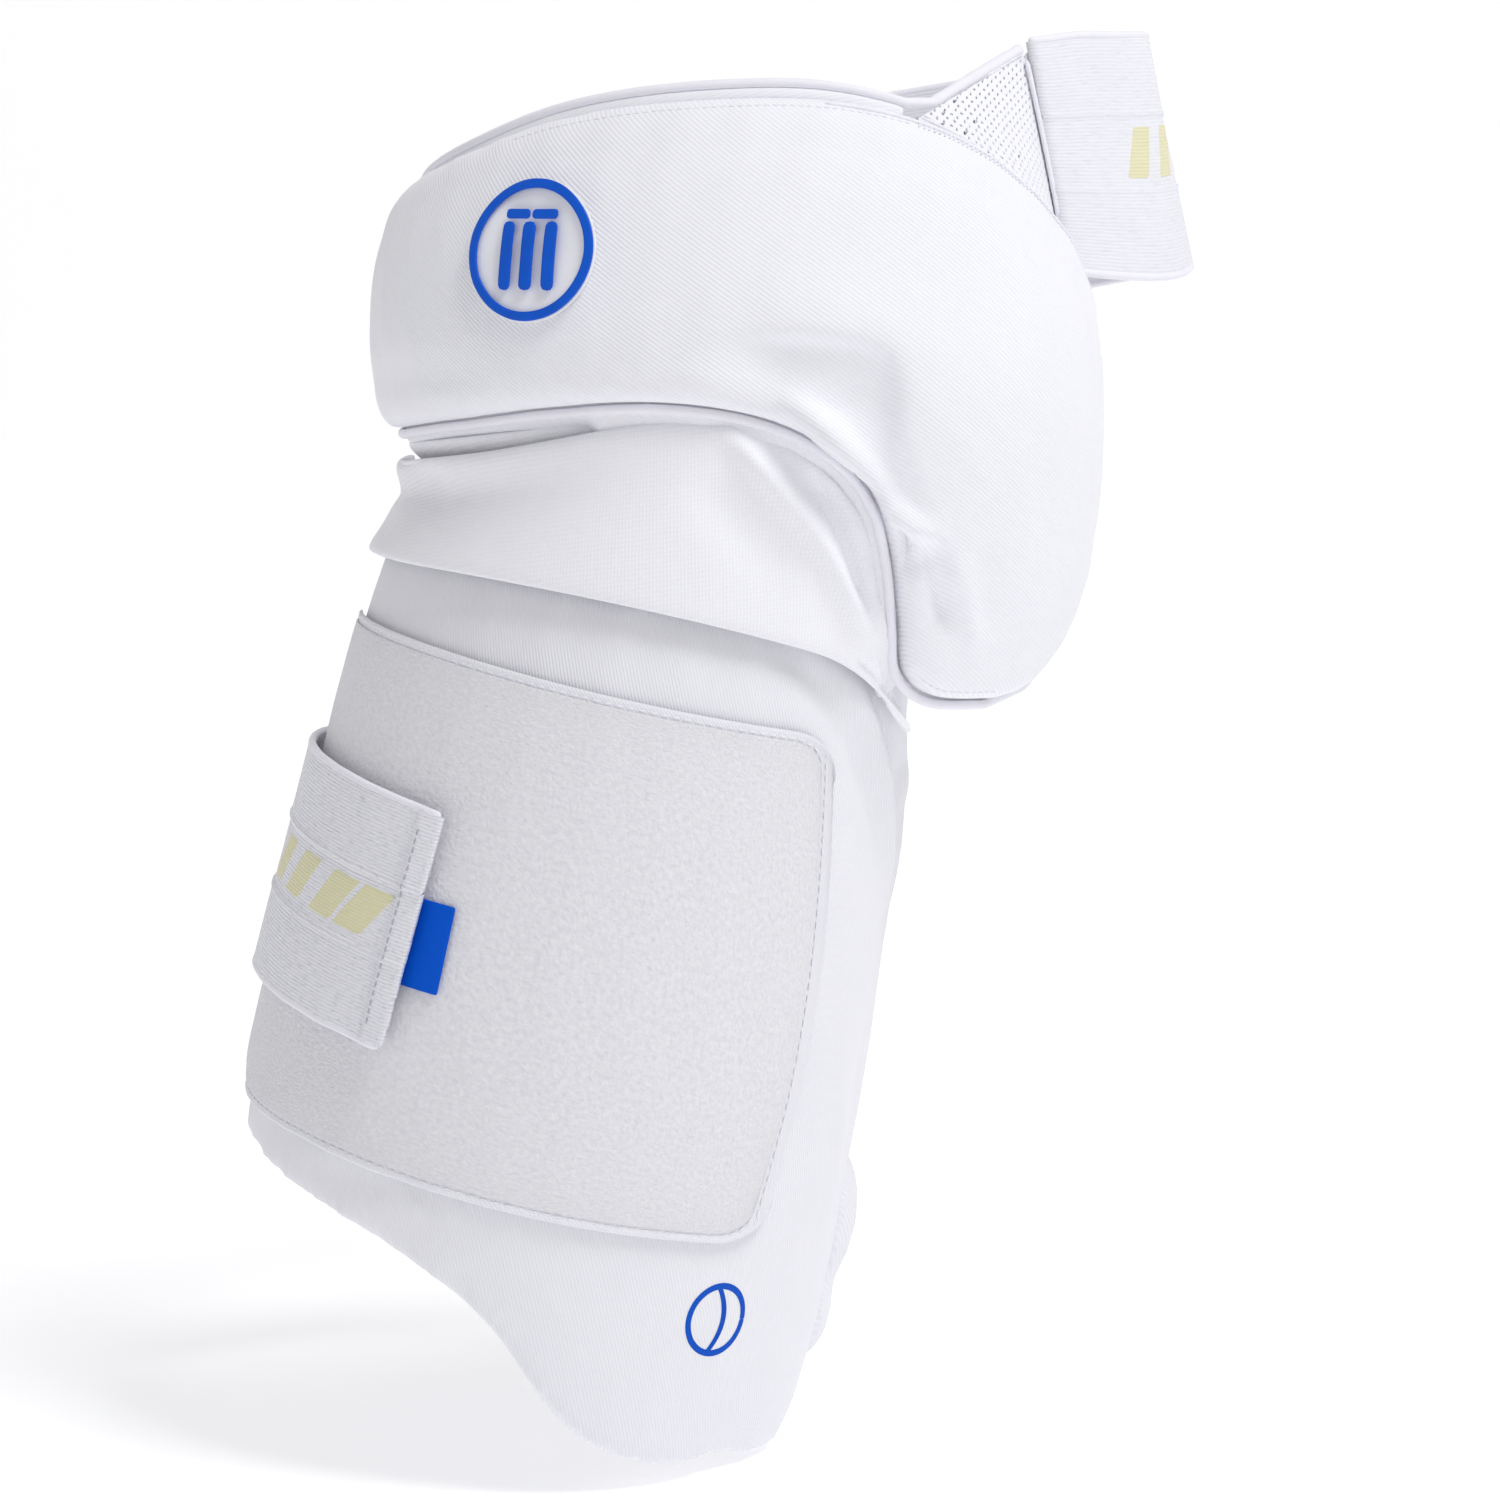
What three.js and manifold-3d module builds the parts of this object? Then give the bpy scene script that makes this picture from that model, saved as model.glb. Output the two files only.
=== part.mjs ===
// A cricket thigh guard as it is worn: a thigh pad with a tongue, a kidney-shaped hip pad joined to it
// by a folded web of stretch fabric, a mesh wing with a waist strap, and a thigh strap on a loop panel.
// Millimetres, +Z up, -Y to the front. The origin is on the thigh's axis, level with the thigh strap.
import * as THREE from 'three';
import Module from 'manifold-3d';

const wasm = await Module();
wasm.setup();

const { degToRad, radToDeg, lerp, clamp, smoothstep } = THREE.MathUtils;

// The thigh that the pad wraps, measured along its own leaning axis
const thighLength = 300; // from the tongue's tip to the top of the thigh pad
const thighHalfWidth = 83;
const thighHalfDepth = 80;
const thighLean = 11; // degrees, its top towards +X
const seatFromTip = 165; // origin above the tongue's tip, along the thigh

// The hip that the hip pad wraps
const hipLength = 200; // from the lobe's lower end to the pad's top edge
const hipHalfWidth = 103;
const hipHalfDepth = 80;
const hipShift = 52; // hip's middle beside the origin
const hipRise = 78; // lobe's lower end above the origin

// Pads. The level is where a pad's seam lies in its thickness, from the skin outwards.
const thighPadThickness = 19.5;
const thighPadLevel = 0.25;
const thighPadRound = 20; // width of the rounding along the edge
const hipPadThickness = 21;
const hipPadLevel = 0.4;
const hipPadRound = 30;
const backRound = 12; // the same on the side of the skin
const seamThickness = 3; // a pad's edge, where its two covers meet
const rollRadius = 12; // of the soft roll behind the tongue's right side

// Cloth, tape and trim
const layerGap = 0.5; // air between two layers that lie on each other
const edgeGap = 0.9; // air between a pad's edge and the cord or cloth sewn along it
const webThickness = 2;
const foldThickness = 3;
const foldStand = 24.2; // the fold's hem, off the thigh
const rimThickness = 1.6;
const rimWidth = 2.2; // mesh that shows above the hip pad
const meshThickness = 1.6;
const meshHolePitch = 5.8;
const meshHoleRadius = 0.8;
const pipingRadius = 1.7;
const bindingRadius = 1.4;

// Straps and the panel that they fasten to
const strapWidth = 75;
const strapThickness = 2.2;
const waistSlack = 60; // how far the waist strap stands off the hip form
const strapStand = 27.5; // the thigh strap's face above the thigh, where it lies on the panel
const hookThickness = 1.5;
const hookLength = 42;
const hookWidth = 62;
const panelThickness = 1.8;
const panelGap = 0.8;
const panelCorner = 14;

// Label, badge and print
const labelWidth = 28.5;
const labelLength = 19; // of which the strap's end hides a part
const labelThickness = 1;
const badgeRadius = 22;
const badgeThickness = 2.4;
const badgeRingWidth = 2.2;
const badgeRelief = 1.2; // ring and motif above the disc
const wicketHeight = 19;
const wicketWidth = 15;
const stumpWidth = 2.8;
const bailHeight = 2.4;
const printRadius = 12.5;
const printLine = 2.4;
const printThickness = 0.6;
const seamHalfAngle = 0.28; // radians that the ball's seam takes up at each end, to either side

// Reads a table as smooth curves: the first column is the position, the others are looked up
function smoothTable(rows) {
  const [key, ...columns] = Object.keys(rows[0]);
  const values = rows.flatMap((row) => columns.map((column) => row[column]));
  const curve = new THREE.CubicInterpolant(rows.map((row) => row[key]), values, columns.length);
  return (at) => {
    const found = curve.evaluate(at);
    return Object.fromEntries(columns.map((column, i) => [column, found[i]]));
  };
}

// Sections of the thigh: height as a share of its length, widths as shares of its half sizes
const thighSections = smoothTable([
  { up: 0.0, width: 1.0, depth: 0.95 },
  { up: 0.3, width: 1.01, depth: 1.0 },
  { up: 0.45, width: 1.0, depth: 1.0 },
  { up: 0.65, width: 0.95, depth: 0.96 },
  { up: 0.8, width: 0.9, depth: 0.92 },
  { up: 1.0, width: 0.81, depth: 0.85 },
]);

// Sections of the hip: aside and back shift its middle, as shares of the half sizes
const hipSections = smoothTable([
  { up: 0.0, aside: 0.02, back: 0.375, width: 0.96, depth: 0.98 },
  { up: 0.25, aside: 0.0, back: 0.15, width: 1.0, depth: 1.0 },
  { up: 0.5, aside: -0.01, back: -0.04, width: 1.0, depth: 1.0 },
  { up: 0.75, aside: 0.0, back: 0.0, width: 0.98, depth: 0.94 },
  { up: 1.0, aside: 0.03, back: 0.075, width: 0.87, depth: 0.84 },
]);

const leanAxis = new THREE.Vector3(0, 1, 0);

// A point on the thigh: angle in degrees from the front towards +X, out is the distance off the skin
function onThigh(angle, up, out = 0) {
  const section = thighSections(up);
  const turn = degToRad(angle);
  return new THREE.Vector3(
    (thighHalfWidth * section.width + out) * Math.sin(turn),
    -(thighHalfDepth * section.depth + out) * Math.cos(turn),
    thighLength * up - seatFromTip,
  ).applyAxisAngle(leanAxis, degToRad(thighLean));
}

// The same on the hip
function onHip(angle, up, out = 0) {
  const section = hipSections(up);
  const turn = degToRad(angle);
  return new THREE.Vector3(
    hipShift + hipHalfWidth * section.aside + (hipHalfWidth * section.width + out) * Math.sin(turn),
    hipHalfDepth * section.back - (hipHalfDepth * section.depth + out) * Math.cos(turn),
    hipRise + hipLength * up,
  );
}

// Even steps from 0 to 1, drawn towards both ends by a share of ease
function steps(count, ease = 0) {
  return Array.from({ length: count + 1 }, (_, i) =>
    lerp(i / count, (1 - Math.cos((Math.PI * i) / count)) / 2, ease));
}

// A closed sheet between an outer and an inner grid of points, joined round its rim
function sheetGeometry(alongs, acrosses, outer, inner) {
  const rows = alongs.length;
  const columns = acrosses.length;
  const points = [outer, inner].flatMap((side) =>
    alongs.flatMap((a) => acrosses.flatMap((b) => side(a, b).toArray())));
  const at = (side, row, column) => side * rows * columns + row * columns + column;
  const faces = [];
  const quad = (p, q, r, s) => faces.push(p, q, r, p, r, s);
  for (let row = 0; row + 1 < rows; row++) {
    for (let column = 0; column + 1 < columns; column++) {
      quad(at(0, row, column), at(0, row, column + 1), at(0, row + 1, column + 1), at(0, row + 1, column));
      quad(at(1, row, column), at(1, row + 1, column), at(1, row + 1, column + 1), at(1, row, column + 1));
    }
    const last = columns - 1;
    quad(at(0, row, 0), at(0, row + 1, 0), at(1, row + 1, 0), at(1, row, 0));
    quad(at(0, row + 1, last), at(0, row, last), at(1, row, last), at(1, row + 1, last));
  }
  for (let column = 0; column + 1 < columns; column++) {
    const last = rows - 1;
    quad(at(0, 0, column + 1), at(0, 0, column), at(1, 0, column), at(1, 0, column + 1));
    quad(at(0, last, column), at(0, last, column + 1), at(1, last, column + 1), at(1, last, column));
  }
  const geometry = new THREE.BufferGeometry();
  geometry.setAttribute('position', new THREE.Float32BufferAttribute(points, 3));
  geometry.setIndex(facingOut(points, faces));
  geometry.computeVertexNormals();
  return geometry;
}

// The faces of a closed solid, turned round if they look inwards
function facingOut(points, faces) {
  const corner = (i) => new THREE.Vector3().fromArray(points, 3 * faces[i]);
  let volume = 0;
  for (let i = 0; i < faces.length; i += 3) volume += corner(i).dot(corner(i + 1).cross(corner(i + 2)));
  return volume > 0 ? faces : faces.reverse();
}

// The surface at a depth behind the surface point(a, b), whose normal is along x across
function behind(point, depth) {
  const near = 1e-3;
  return (a, b) => {
    const along = point(Math.min(a + near, 1), b).sub(point(Math.max(a - near, 0), b));
    const across = point(a, Math.min(b + near, 1)).sub(point(a, Math.max(b - near, 0)));
    return point(a, b).addScaledVector(along.cross(across).normalize(), -depth);
  };
}

// A sheet of even thickness behind a surface
function clothGeometry(alongs, acrosses, point, thickness) {
  return sheetGeometry(alongs, acrosses, point, behind(point, thickness));
}

// A pad on a form. Each row of its table is a line across it, from its low edge to its high edge.
// Distances over its face are measured on the form unrolled flat.
class Pad {
  constructor({ form, girth, length, thickness, level, round }, rows, reliefs = []) {
    Object.assign(this, { form, girth, length, thickness, round, reliefs });
    this.seam = level * thickness;
    this.row = smoothTable(rows);
    const ends = steps(48);
    const low = ends.map((a) => this.flat(this.spot(a, 0)));
    const high = ends.map((a) => this.flat(this.spot(a, 1)));
    this.outline = [...low, ...high.reverse()];
  }

  // Where share a along and share b across falls on the form
  spot(a, b) {
    const row = this.row(a);
    return { angle: lerp(row.lowAngle, row.highAngle, b), up: lerp(row.lowUp, row.highUp, b) };
  }

  flat({ angle, up }) {
    return new THREE.Vector2(degToRad(angle) * this.girth, up * this.length);
  }

  // How full the pad is at a spot: nothing at its outline, one where it has its whole thickness
  dome(here, round) {
    const edge = Math.min(...this.outline.map((corner, i) =>
      distanceToLine(here, corner, this.outline[(i + 1) % this.outline.length])));
    return Math.sqrt(1 - (1 - clamp(edge / round, 0, 1)) ** 2);
  }

  // Height of the outer face over the form, with its dents
  rise(angle, up) {
    const here = this.flat({ angle, up });
    const relief = reliefAt(here, this.reliefs, (spot) => this.flat(spot), this.thickness);
    const low = this.seam + seamThickness / 2;
    return low + (this.thickness - low) * this.dome(here, this.round) * (1 + relief);
  }

  // Height of the face on the skin
  hollow(angle, up) {
    const high = this.seam - seamThickness / 2;
    return high * (1 - this.dome(this.flat({ angle, up }), backRound));
  }

  geometry(alongs, acrosses) {
    const at = (a, b, out) => {
      const { angle, up } = this.spot(a, b);
      return this.form(angle, up, out(angle, up));
    };
    return sheetGeometry(
      alongs,
      acrosses,
      (a, b) => at(a, b, (angle, up) => this.rise(angle, up)),
      (a, b) => at(a, b, (angle, up) => this.hollow(angle, up)),
    );
  }

  // A thin sheet that lies on the pad's face: across runs from lowUp to highUp at the angle
  sheet(alongs, acrosses, place, lift, thickness) {
    const at = (a, b, above) => {
      const { angle, up } = place(a, b);
      return this.form(angle, up, this.rise(angle, up) + above);
    };
    return sheetGeometry(alongs, acrosses, (a, b) => at(a, b, lift + thickness), (a, b) => at(a, b, lift));
  }

  // Lays a flat extruded shape on the pad's face round a spot
  lay(geometry, spot, lift) {
    const position = geometry.getAttribute('position');
    const point = new THREE.Vector3();
    for (let i = 0; i < position.count; i++) {
      point.fromBufferAttribute(position, i);
      const angle = spot.angle + radToDeg(point.x / this.girth);
      const up = spot.up + point.y / this.length;
      position.setXYZ(i, ...this.form(angle, up, this.rise(angle, up) + lift + point.z));
    }
    geometry.computeVertexNormals();
    return geometry;
  }

  // A line beside the outline: spots of the edge, in order, moved to their right-hand side
  beside(spots, aside, out) {
    const flat = spots.map((spot) => this.flat(spot));
    const moved = flat.map((point, i) => {
      const before = flat[Math.max(i - 1, 0)];
      const after = flat[Math.min(i + 1, flat.length - 1)];
      const forward = after.clone().sub(before).normalize();
      return point.clone().add(new THREE.Vector2(forward.y, -forward.x).multiplyScalar(aside));
    });
    return moved.map(({ x, y }) => this.form(radToDeg(x / this.girth), y / this.length, out));
  }
}

// Sum of the folds and dents at a place. Their width and height are shares of the thickness.
function reliefAt(here, folds, flat, thickness) {
  return folds.reduce((sum, { from, to, width, height }) => {
    const away = distanceToLine(here, flat(from), flat(to)) / (width * thickness);
    return sum + height * Math.exp(-away * away);
  }, 0);
}

function distanceToLine(point, from, to) {
  const line = to.clone().sub(from);
  const share = clamp(point.clone().sub(from).dot(line) / Math.max(line.lengthSq(), 1e-9), 0, 1);
  return point.distanceTo(from.clone().addScaledVector(line, share));
}

// A round cord along a smooth curve through points. Its thickness may change: a table of shares of the radius.
function cordGeometry(points, radius, count, sides, swell = () => 1) {
  const curve = new THREE.CatmullRomCurve3(points);
  const rings = steps(count).map((at) => {
    const middle = curve.getPointAt(at);
    const forward = curve.getTangentAt(at);
    const outward = new THREE.Vector3(middle.x - hipShift / 2, middle.y, 0);
    const aside = forward.clone().cross(outward).normalize();
    const over = aside.clone().cross(forward);
    return Array.from({ length: sides }, (_, i) => {
      const turn = (2 * Math.PI * i) / sides;
      return middle.clone()
        .addScaledVector(aside, radius * swell(at) * Math.cos(turn))
        .addScaledVector(over, radius * swell(at) * Math.sin(turn));
    });
  });
  const points3 = [curve.getPointAt(0), ...rings.flat(), curve.getPointAt(1)].flatMap((point) => point.toArray());
  const end = points3.length / 3 - 1;
  const at = (ring, side) => 1 + ring * sides + (side % sides);
  const faces = [];
  for (let side = 0; side < sides; side++) {
    faces.push(0, at(0, side + 1), at(0, side), end, at(count, side), at(count, side + 1));
    for (let ring = 0; ring < count; ring++) {
      faces.push(at(ring, side), at(ring, side + 1), at(ring + 1, side + 1));
      faces.push(at(ring, side), at(ring + 1, side + 1), at(ring + 1, side));
    }
  }
  const geometry = new THREE.BufferGeometry();
  geometry.setAttribute('position', new THREE.Float32BufferAttribute(points3, 3));
  geometry.setIndex(facingOut(points3, faces));
  geometry.computeVertexNormals();
  return geometry;
}

// Thigh pad, from the tongue's tip (along 0) to the top (along 1); low is its left edge
const thighPad = new Pad({
  form: onThigh,
  girth: thighHalfWidth + thighPadThickness,
  length: thighLength,
  thickness: thighPadThickness,
  level: thighPadLevel,
  round: thighPadRound,
}, [
  { along: 0.0, lowAngle: 44, lowUp: 0.006, highAngle: 58, highUp: 0.006 },
  { along: 0.05, lowAngle: 33, lowUp: 0.018, highAngle: 70, highUp: 0.022 },
  { along: 0.12, lowAngle: 21, lowUp: 0.05, highAngle: 84, highUp: 0.07 },
  { along: 0.2, lowAngle: 9, lowUp: 0.105, highAngle: 94, highUp: 0.13 },
  { along: 0.28, lowAngle: -6, lowUp: 0.168, highAngle: 98, highUp: 0.2 },
  { along: 0.36, lowAngle: -30, lowUp: 0.215, highAngle: 100, highUp: 0.29 },
  { along: 0.44, lowAngle: -60, lowUp: 0.24, highAngle: 101, highUp: 0.39 },
  { along: 0.52, lowAngle: -90, lowUp: 0.262, highAngle: 102, highUp: 0.49 },
  { along: 0.6, lowAngle: -106, lowUp: 0.32, highAngle: 102, highUp: 0.58 },
  { along: 0.7, lowAngle: -110, lowUp: 0.46, highAngle: 102, highUp: 0.68 },
  { along: 0.85, lowAngle: -110, lowUp: 0.72, highAngle: 102, highUp: 0.82 },
  { along: 1.0, lowAngle: -110, lowUp: 0.97, highAngle: 102, highUp: 0.97 },
], [
  { from: { angle: 60, up: 0.84 }, to: { angle: 86, up: 0.6 }, width: 0.35, height: -0.12 },
  { from: { angle: 72, up: 0.84 }, to: { angle: 92, up: 0.68 }, width: 0.3, height: 0.1 },
  { from: { angle: -112, up: 0.565 }, to: { angle: -74, up: 0.56 }, width: 2.4, height: -0.17 },
]);

// Hip pad, from its hidden left end to the lobe's lower end; low is its concave edge
const hipPad = new Pad({
  form: onHip,
  girth: hipHalfWidth + hipPadThickness / 2,
  length: hipLength,
  thickness: hipPadThickness,
  level: hipPadLevel,
  round: hipPadRound,
}, [
  { along: 0.0, lowAngle: -118, lowUp: 0.54, highAngle: -118, highUp: 0.66 },
  { along: 0.05, lowAngle: -110, lowUp: 0.455, highAngle: -111, highUp: 0.75 },
  { along: 0.13, lowAngle: -88, lowUp: 0.43, highAngle: -90, highUp: 0.8 },
  { along: 0.24, lowAngle: -54, lowUp: 0.454, highAngle: -60, highUp: 0.865 },
  { along: 0.34, lowAngle: -32, lowUp: 0.479, highAngle: -33, highUp: 0.93 },
  { along: 0.43, lowAngle: -13, lowUp: 0.49, highAngle: -8, highUp: 0.957 },
  { along: 0.51, lowAngle: 3, lowUp: 0.468, highAngle: 15, highUp: 0.955 },
  { along: 0.59, lowAngle: 15, lowUp: 0.41, highAngle: 37, highUp: 0.905 },
  { along: 0.67, lowAngle: 22, lowUp: 0.33, highAngle: 58, highUp: 0.8 },
  { along: 0.75, lowAngle: 25, lowUp: 0.22, highAngle: 80, highUp: 0.63 },
  { along: 0.82, lowAngle: 26, lowUp: 0.12, highAngle: 86, highUp: 0.45 },
  { along: 0.89, lowAngle: 27, lowUp: 0.045, highAngle: 80, highUp: 0.26 },
  { along: 0.95, lowAngle: 33, lowUp: 0.004, highAngle: 69, highUp: 0.1 },
  { along: 1.0, lowAngle: 45, lowUp: -0.005, highAngle: 54, highUp: 0.006 },
], [
  { from: { angle: 4, up: 0.54 }, to: { angle: 17, up: 0.48 }, width: 0.8, height: -0.3 },
  { from: { angle: 20, up: 0.48 }, to: { angle: 27, up: 0.36 }, width: 0.6, height: -0.24 },
  { from: { angle: 13, up: 0.465 }, to: { angle: 33, up: 0.237 }, width: 0.35, height: 0.22 },
  { from: { angle: 28, up: 0.22 }, to: { angle: 38, up: 0.13 }, width: 0.5, height: -0.22 },
]);

// Lines of the folded fabric between the pads: on the thigh where the fold's hem hangs, on the hip the
// concave edge of the hip pad. Reach is the share of the way that the fabric takes, up to the piping. Lift
// keeps it off the thigh pad where the lobe hangs beside it.
const foldRow = smoothTable([
  { along: 0.0, thighAngle: -104, thighUp: 0.9, hipAngle: -104, hipUp: 0.44, reach: 0.9, lift: 0 },
  { along: 0.1, thighAngle: -86, thighUp: 0.908, hipAngle: -88, hipUp: 0.43, reach: 0.9, lift: 0 },
  { along: 0.24, thighAngle: -62, thighUp: 0.914, hipAngle: -60, hipUp: 0.449, reach: 0.91, lift: 0 },
  { along: 0.38, thighAngle: -36, thighUp: 0.924, hipAngle: -32, hipUp: 0.479, reach: 0.92, lift: 0 },
  { along: 0.5, thighAngle: -13, thighUp: 0.928, hipAngle: -12, hipUp: 0.49, reach: 0.92, lift: 0 },
  { along: 0.62, thighAngle: 9, thighUp: 0.925, hipAngle: 5, hipUp: 0.464, reach: 0.915, lift: 0 },
  { along: 0.72, thighAngle: 27, thighUp: 0.917, hipAngle: 16, hipUp: 0.402, reach: 0.905, lift: 0 },
  { along: 0.81, thighAngle: 42, thighUp: 0.905, hipAngle: 22.5, hipUp: 0.32, reach: 0.85, lift: 0 },
  { along: 0.88, thighAngle: 53, thighUp: 0.882, hipAngle: 25.2, hipUp: 0.21, reach: 0.76, lift: 0.05 },
  { along: 0.94, thighAngle: 62, thighUp: 0.858, hipAngle: 26.2, hipUp: 0.11, reach: 0.58, lift: 0.2 },
  { along: 1.0, thighAngle: 72, thighUp: 0.835, hipAngle: 28, hipUp: 0.035, reach: 0.3, lift: 0.5 },
]);

// The same for the web beneath, from the thigh pad's top edge
const webRow = smoothTable([
  { along: 0.0, thighAngle: -104, thighUp: 0.9722, hipAngle: -104, hipUp: 0.44, reach: 0.78, lift: 0 },
  { along: 0.12, thighAngle: -86, thighUp: 0.9722, hipAngle: -88, hipUp: 0.43, reach: 0.78, lift: 0 },
  { along: 0.28, thighAngle: -62, thighUp: 0.9722, hipAngle: -60, hipUp: 0.449, reach: 0.8, lift: 0 },
  { along: 0.44, thighAngle: -36, thighUp: 0.9722, hipAngle: -32, hipUp: 0.479, reach: 0.84, lift: 0 },
  { along: 0.58, thighAngle: -13, thighUp: 0.9722, hipAngle: -12, hipUp: 0.49, reach: 0.9, lift: 0 },
  { along: 0.72, thighAngle: 9, thighUp: 0.9722, hipAngle: 5, hipUp: 0.464, reach: 0.89, lift: 0 },
  { along: 0.84, thighAngle: 29, thighUp: 0.9722, hipAngle: 16, hipUp: 0.402, reach: 0.88, lift: 0 },
  { along: 0.94, thighAngle: 46, thighUp: 0.9722, hipAngle: 22.5, hipUp: 0.32, reach: 0.85, lift: 0 },
  { along: 1.0, thighAngle: 56, thighUp: 0.9722, hipAngle: 24.6, hipUp: 0.25, reach: 0.82, lift: 0 },
]);

// Where the fold leaves the hip pad it ends in a free roll (loose), elsewhere it runs up to the piping
// (held). Out is a share of the hem's stand, across of the fabric's reach.
const looseFold = smoothTable([
  { at: 0.0, across: 0.0, out: 1.0 },
  { at: 0.12, across: 0.088, out: 0.94 },
  { at: 0.3, across: 0.25, out: 0.75 },
  { at: 0.48, across: 0.42, out: 0.55 },
  { at: 0.66, across: 0.57, out: 0.43 },
  { at: 0.8, across: 0.7, out: 0.51 },
  { at: 0.9, across: 0.78, out: 0.52 },
  { at: 1.0, across: 0.845, out: 0.44 },
]);
const heldFold = smoothTable([
  { at: 0.0, across: 0.0, out: 1.0 },
  { at: 0.12, across: 0.11, out: 0.95 },
  { at: 0.3, across: 0.3, out: 0.84 },
  { at: 0.48, across: 0.49, out: 0.72 },
  { at: 0.66, across: 0.68, out: 0.6 },
  { at: 0.8, across: 0.83, out: 0.5 },
  { at: 0.9, across: 0.925, out: 0.43 },
  { at: 1.0, across: 1.0, out: 0.36 },
]);
const looseWeb = smoothTable([
  { at: 0.0, across: 0.0, out: 0.24 },
  { at: 0.25, across: 0.25, out: 0.255 },
  { at: 0.45, across: 0.46, out: 0.26 },
  { at: 0.6, across: 0.64, out: 0.24 },
  { at: 0.74, across: 0.75, out: 0.26 },
  { at: 0.88, across: 0.88, out: 0.37 },
  { at: 1.0, across: 1.0, out: 0.38 },
]);
const heldWeb = smoothTable([
  { at: 0.0, across: 0.0, out: 0.24 },
  { at: 0.2, across: 0.2, out: 0.26 },
  { at: 0.4, across: 0.4, out: 0.27 },
  { at: 0.6, across: 0.6, out: 0.26 },
  { at: 0.74, across: 0.75, out: 0.24 },
  { at: 0.88, across: 0.89, out: 0.215 },
  { at: 1.0, across: 1.0, out: 0.195 },
]);
const looseEnd = 0.3; // along the band: loose up to here
const heldStart = 0.55; // and held from here on

// Soft waves in the fold, as lines over the band
const foldWaves = [
  { from: { along: 0.8, across: 0.95 }, to: { along: 0.9, across: 0.3 }, width: 2.6, height: 0.08 },
  { from: { along: 0.9, across: 0.9 }, to: { along: 0.95, across: 0.2 }, width: 1.8, height: -0.05 },
  { from: { along: 0.05, across: 0.5 }, to: { along: 0.3, across: 0.62 }, width: 2.4, height: -0.03 },
];
const bandLength = 260;
const bandHeight = 62;

function onLayer(rowAt, along, at, loose, held, waves = []) {
  const free = loose(at);
  const caught = held(at);
  const share = smoothstep(along, looseEnd, heldStart);
  const across = lerp(free.across, caught.across, share);
  const flat = (spot) => new THREE.Vector2(spot.along * bandLength, spot.across * bandHeight);
  const wave = reliefAt(flat({ along, across }), waves, flat, foldThickness);
  const row = rowAt(along);
  const out = foldStand * (lerp(lerp(free.out, caught.out, share), 1, row.lift) + wave);
  return onThigh(row.thighAngle, row.thighUp, out).lerp(onHip(row.hipAngle, row.hipUp, out), across * row.reach);
}

// A point on the waist strap: along from its seam on the mesh (0) to its fastened end (1), across from its
// lower edge (0) to its upper edge (1). out is a share of the slack, lean how far its top tips inwards.
const waistRoute = smoothTable([
  { along: 0.0, angle: 76.5, up: 0.872, out: 0.06, lean: 11 },
  { along: 0.04, angle: 86, up: 0.875, out: 0.3, lean: 15 },
  { along: 0.09, angle: 96, up: 0.877, out: 0.62, lean: 16 },
  { along: 0.15, angle: 108, up: 0.878, out: 0.9, lean: 13 },
  { along: 0.22, angle: 121, up: 0.876, out: 0.98, lean: 8 },
  { along: 0.32, angle: 140, up: 0.85, out: 0.9, lean: 4 },
  { along: 0.44, angle: 163, up: 0.79, out: 0.64, lean: 2 },
  { along: 0.56, angle: 186, up: 0.735, out: 0.46, lean: 1 },
  { along: 0.67, angle: 206, up: 0.69, out: 0.34, lean: 1 },
  { along: 0.77, angle: 222, up: 0.655, out: 0.19, lean: 1 },
  { along: 0.84, angle: 234, up: 0.635, out: 0.02, lean: 2 },
  { along: 0.88, angle: 241, up: 0.63, out: -0.05, lean: 2 },
  { along: 1.0, angle: 266, up: 0.63, out: -0.058, lean: 2 },
]);
const seamSlant = 0.004; // the strap's seam starts later at the top, a share of its length
const meshUnder = 0.014; // mesh under the strap, a share of the strap's length

function onWaistStrap(along, across, out = 0) {
  const route = waistRoute(clamp(along, 0, 1));
  const side = (across - 0.5) * strapWidth;
  const lean = degToRad(route.lean);
  const point = onHip(route.angle, route.up, route.out * waistSlack + out - side * Math.sin(lean));
  point.z += side * Math.cos(lean);
  return point;
}

// The thigh strap, from its sewn end behind the pad's right edge, round the back and over the left edge to
// its end on the panel. Stand is a share of its stand on the panel.
const thighRoute = smoothTable([
  { along: 0.0, angle: 88, up: 0.55, stand: -0.02 },
  { along: 0.05, angle: 100, up: 0.551, stand: -0.02 },
  { along: 0.1, angle: 112, up: 0.552, stand: 0.08 },
  { along: 0.3, angle: 160, up: 0.558, stand: 0.1 },
  { along: 0.5, angle: 205, up: 0.563, stand: 0.1 },
  { along: 0.62, angle: 232, up: 0.565, stand: 0.22 },
  { along: 0.68, angle: 244, up: 0.565, stand: 0.55 },
  { along: 0.73, angle: 254, up: 0.565, stand: 0.83 },
  { along: 0.78, angle: 264, up: 0.565, stand: 0.87 },
  { along: 0.84, angle: 278, up: 0.562, stand: 0.88 },
  { along: 0.9, angle: 297, up: 0.557, stand: 0.98 },
  { along: 1.0, angle: 330, up: 0.545, stand: 1.0 },
]);

function onThighStrap(along, across) {
  const route = thighRoute(along);
  const side = (across - 0.5) * (strapWidth / thighLength);
  return onThigh(route.angle - side * endSlant, route.up + side, route.stand * strapStand);
}
const endSlant = -8; // degrees that the strap's ends lean over its width, per share of the thigh

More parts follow.
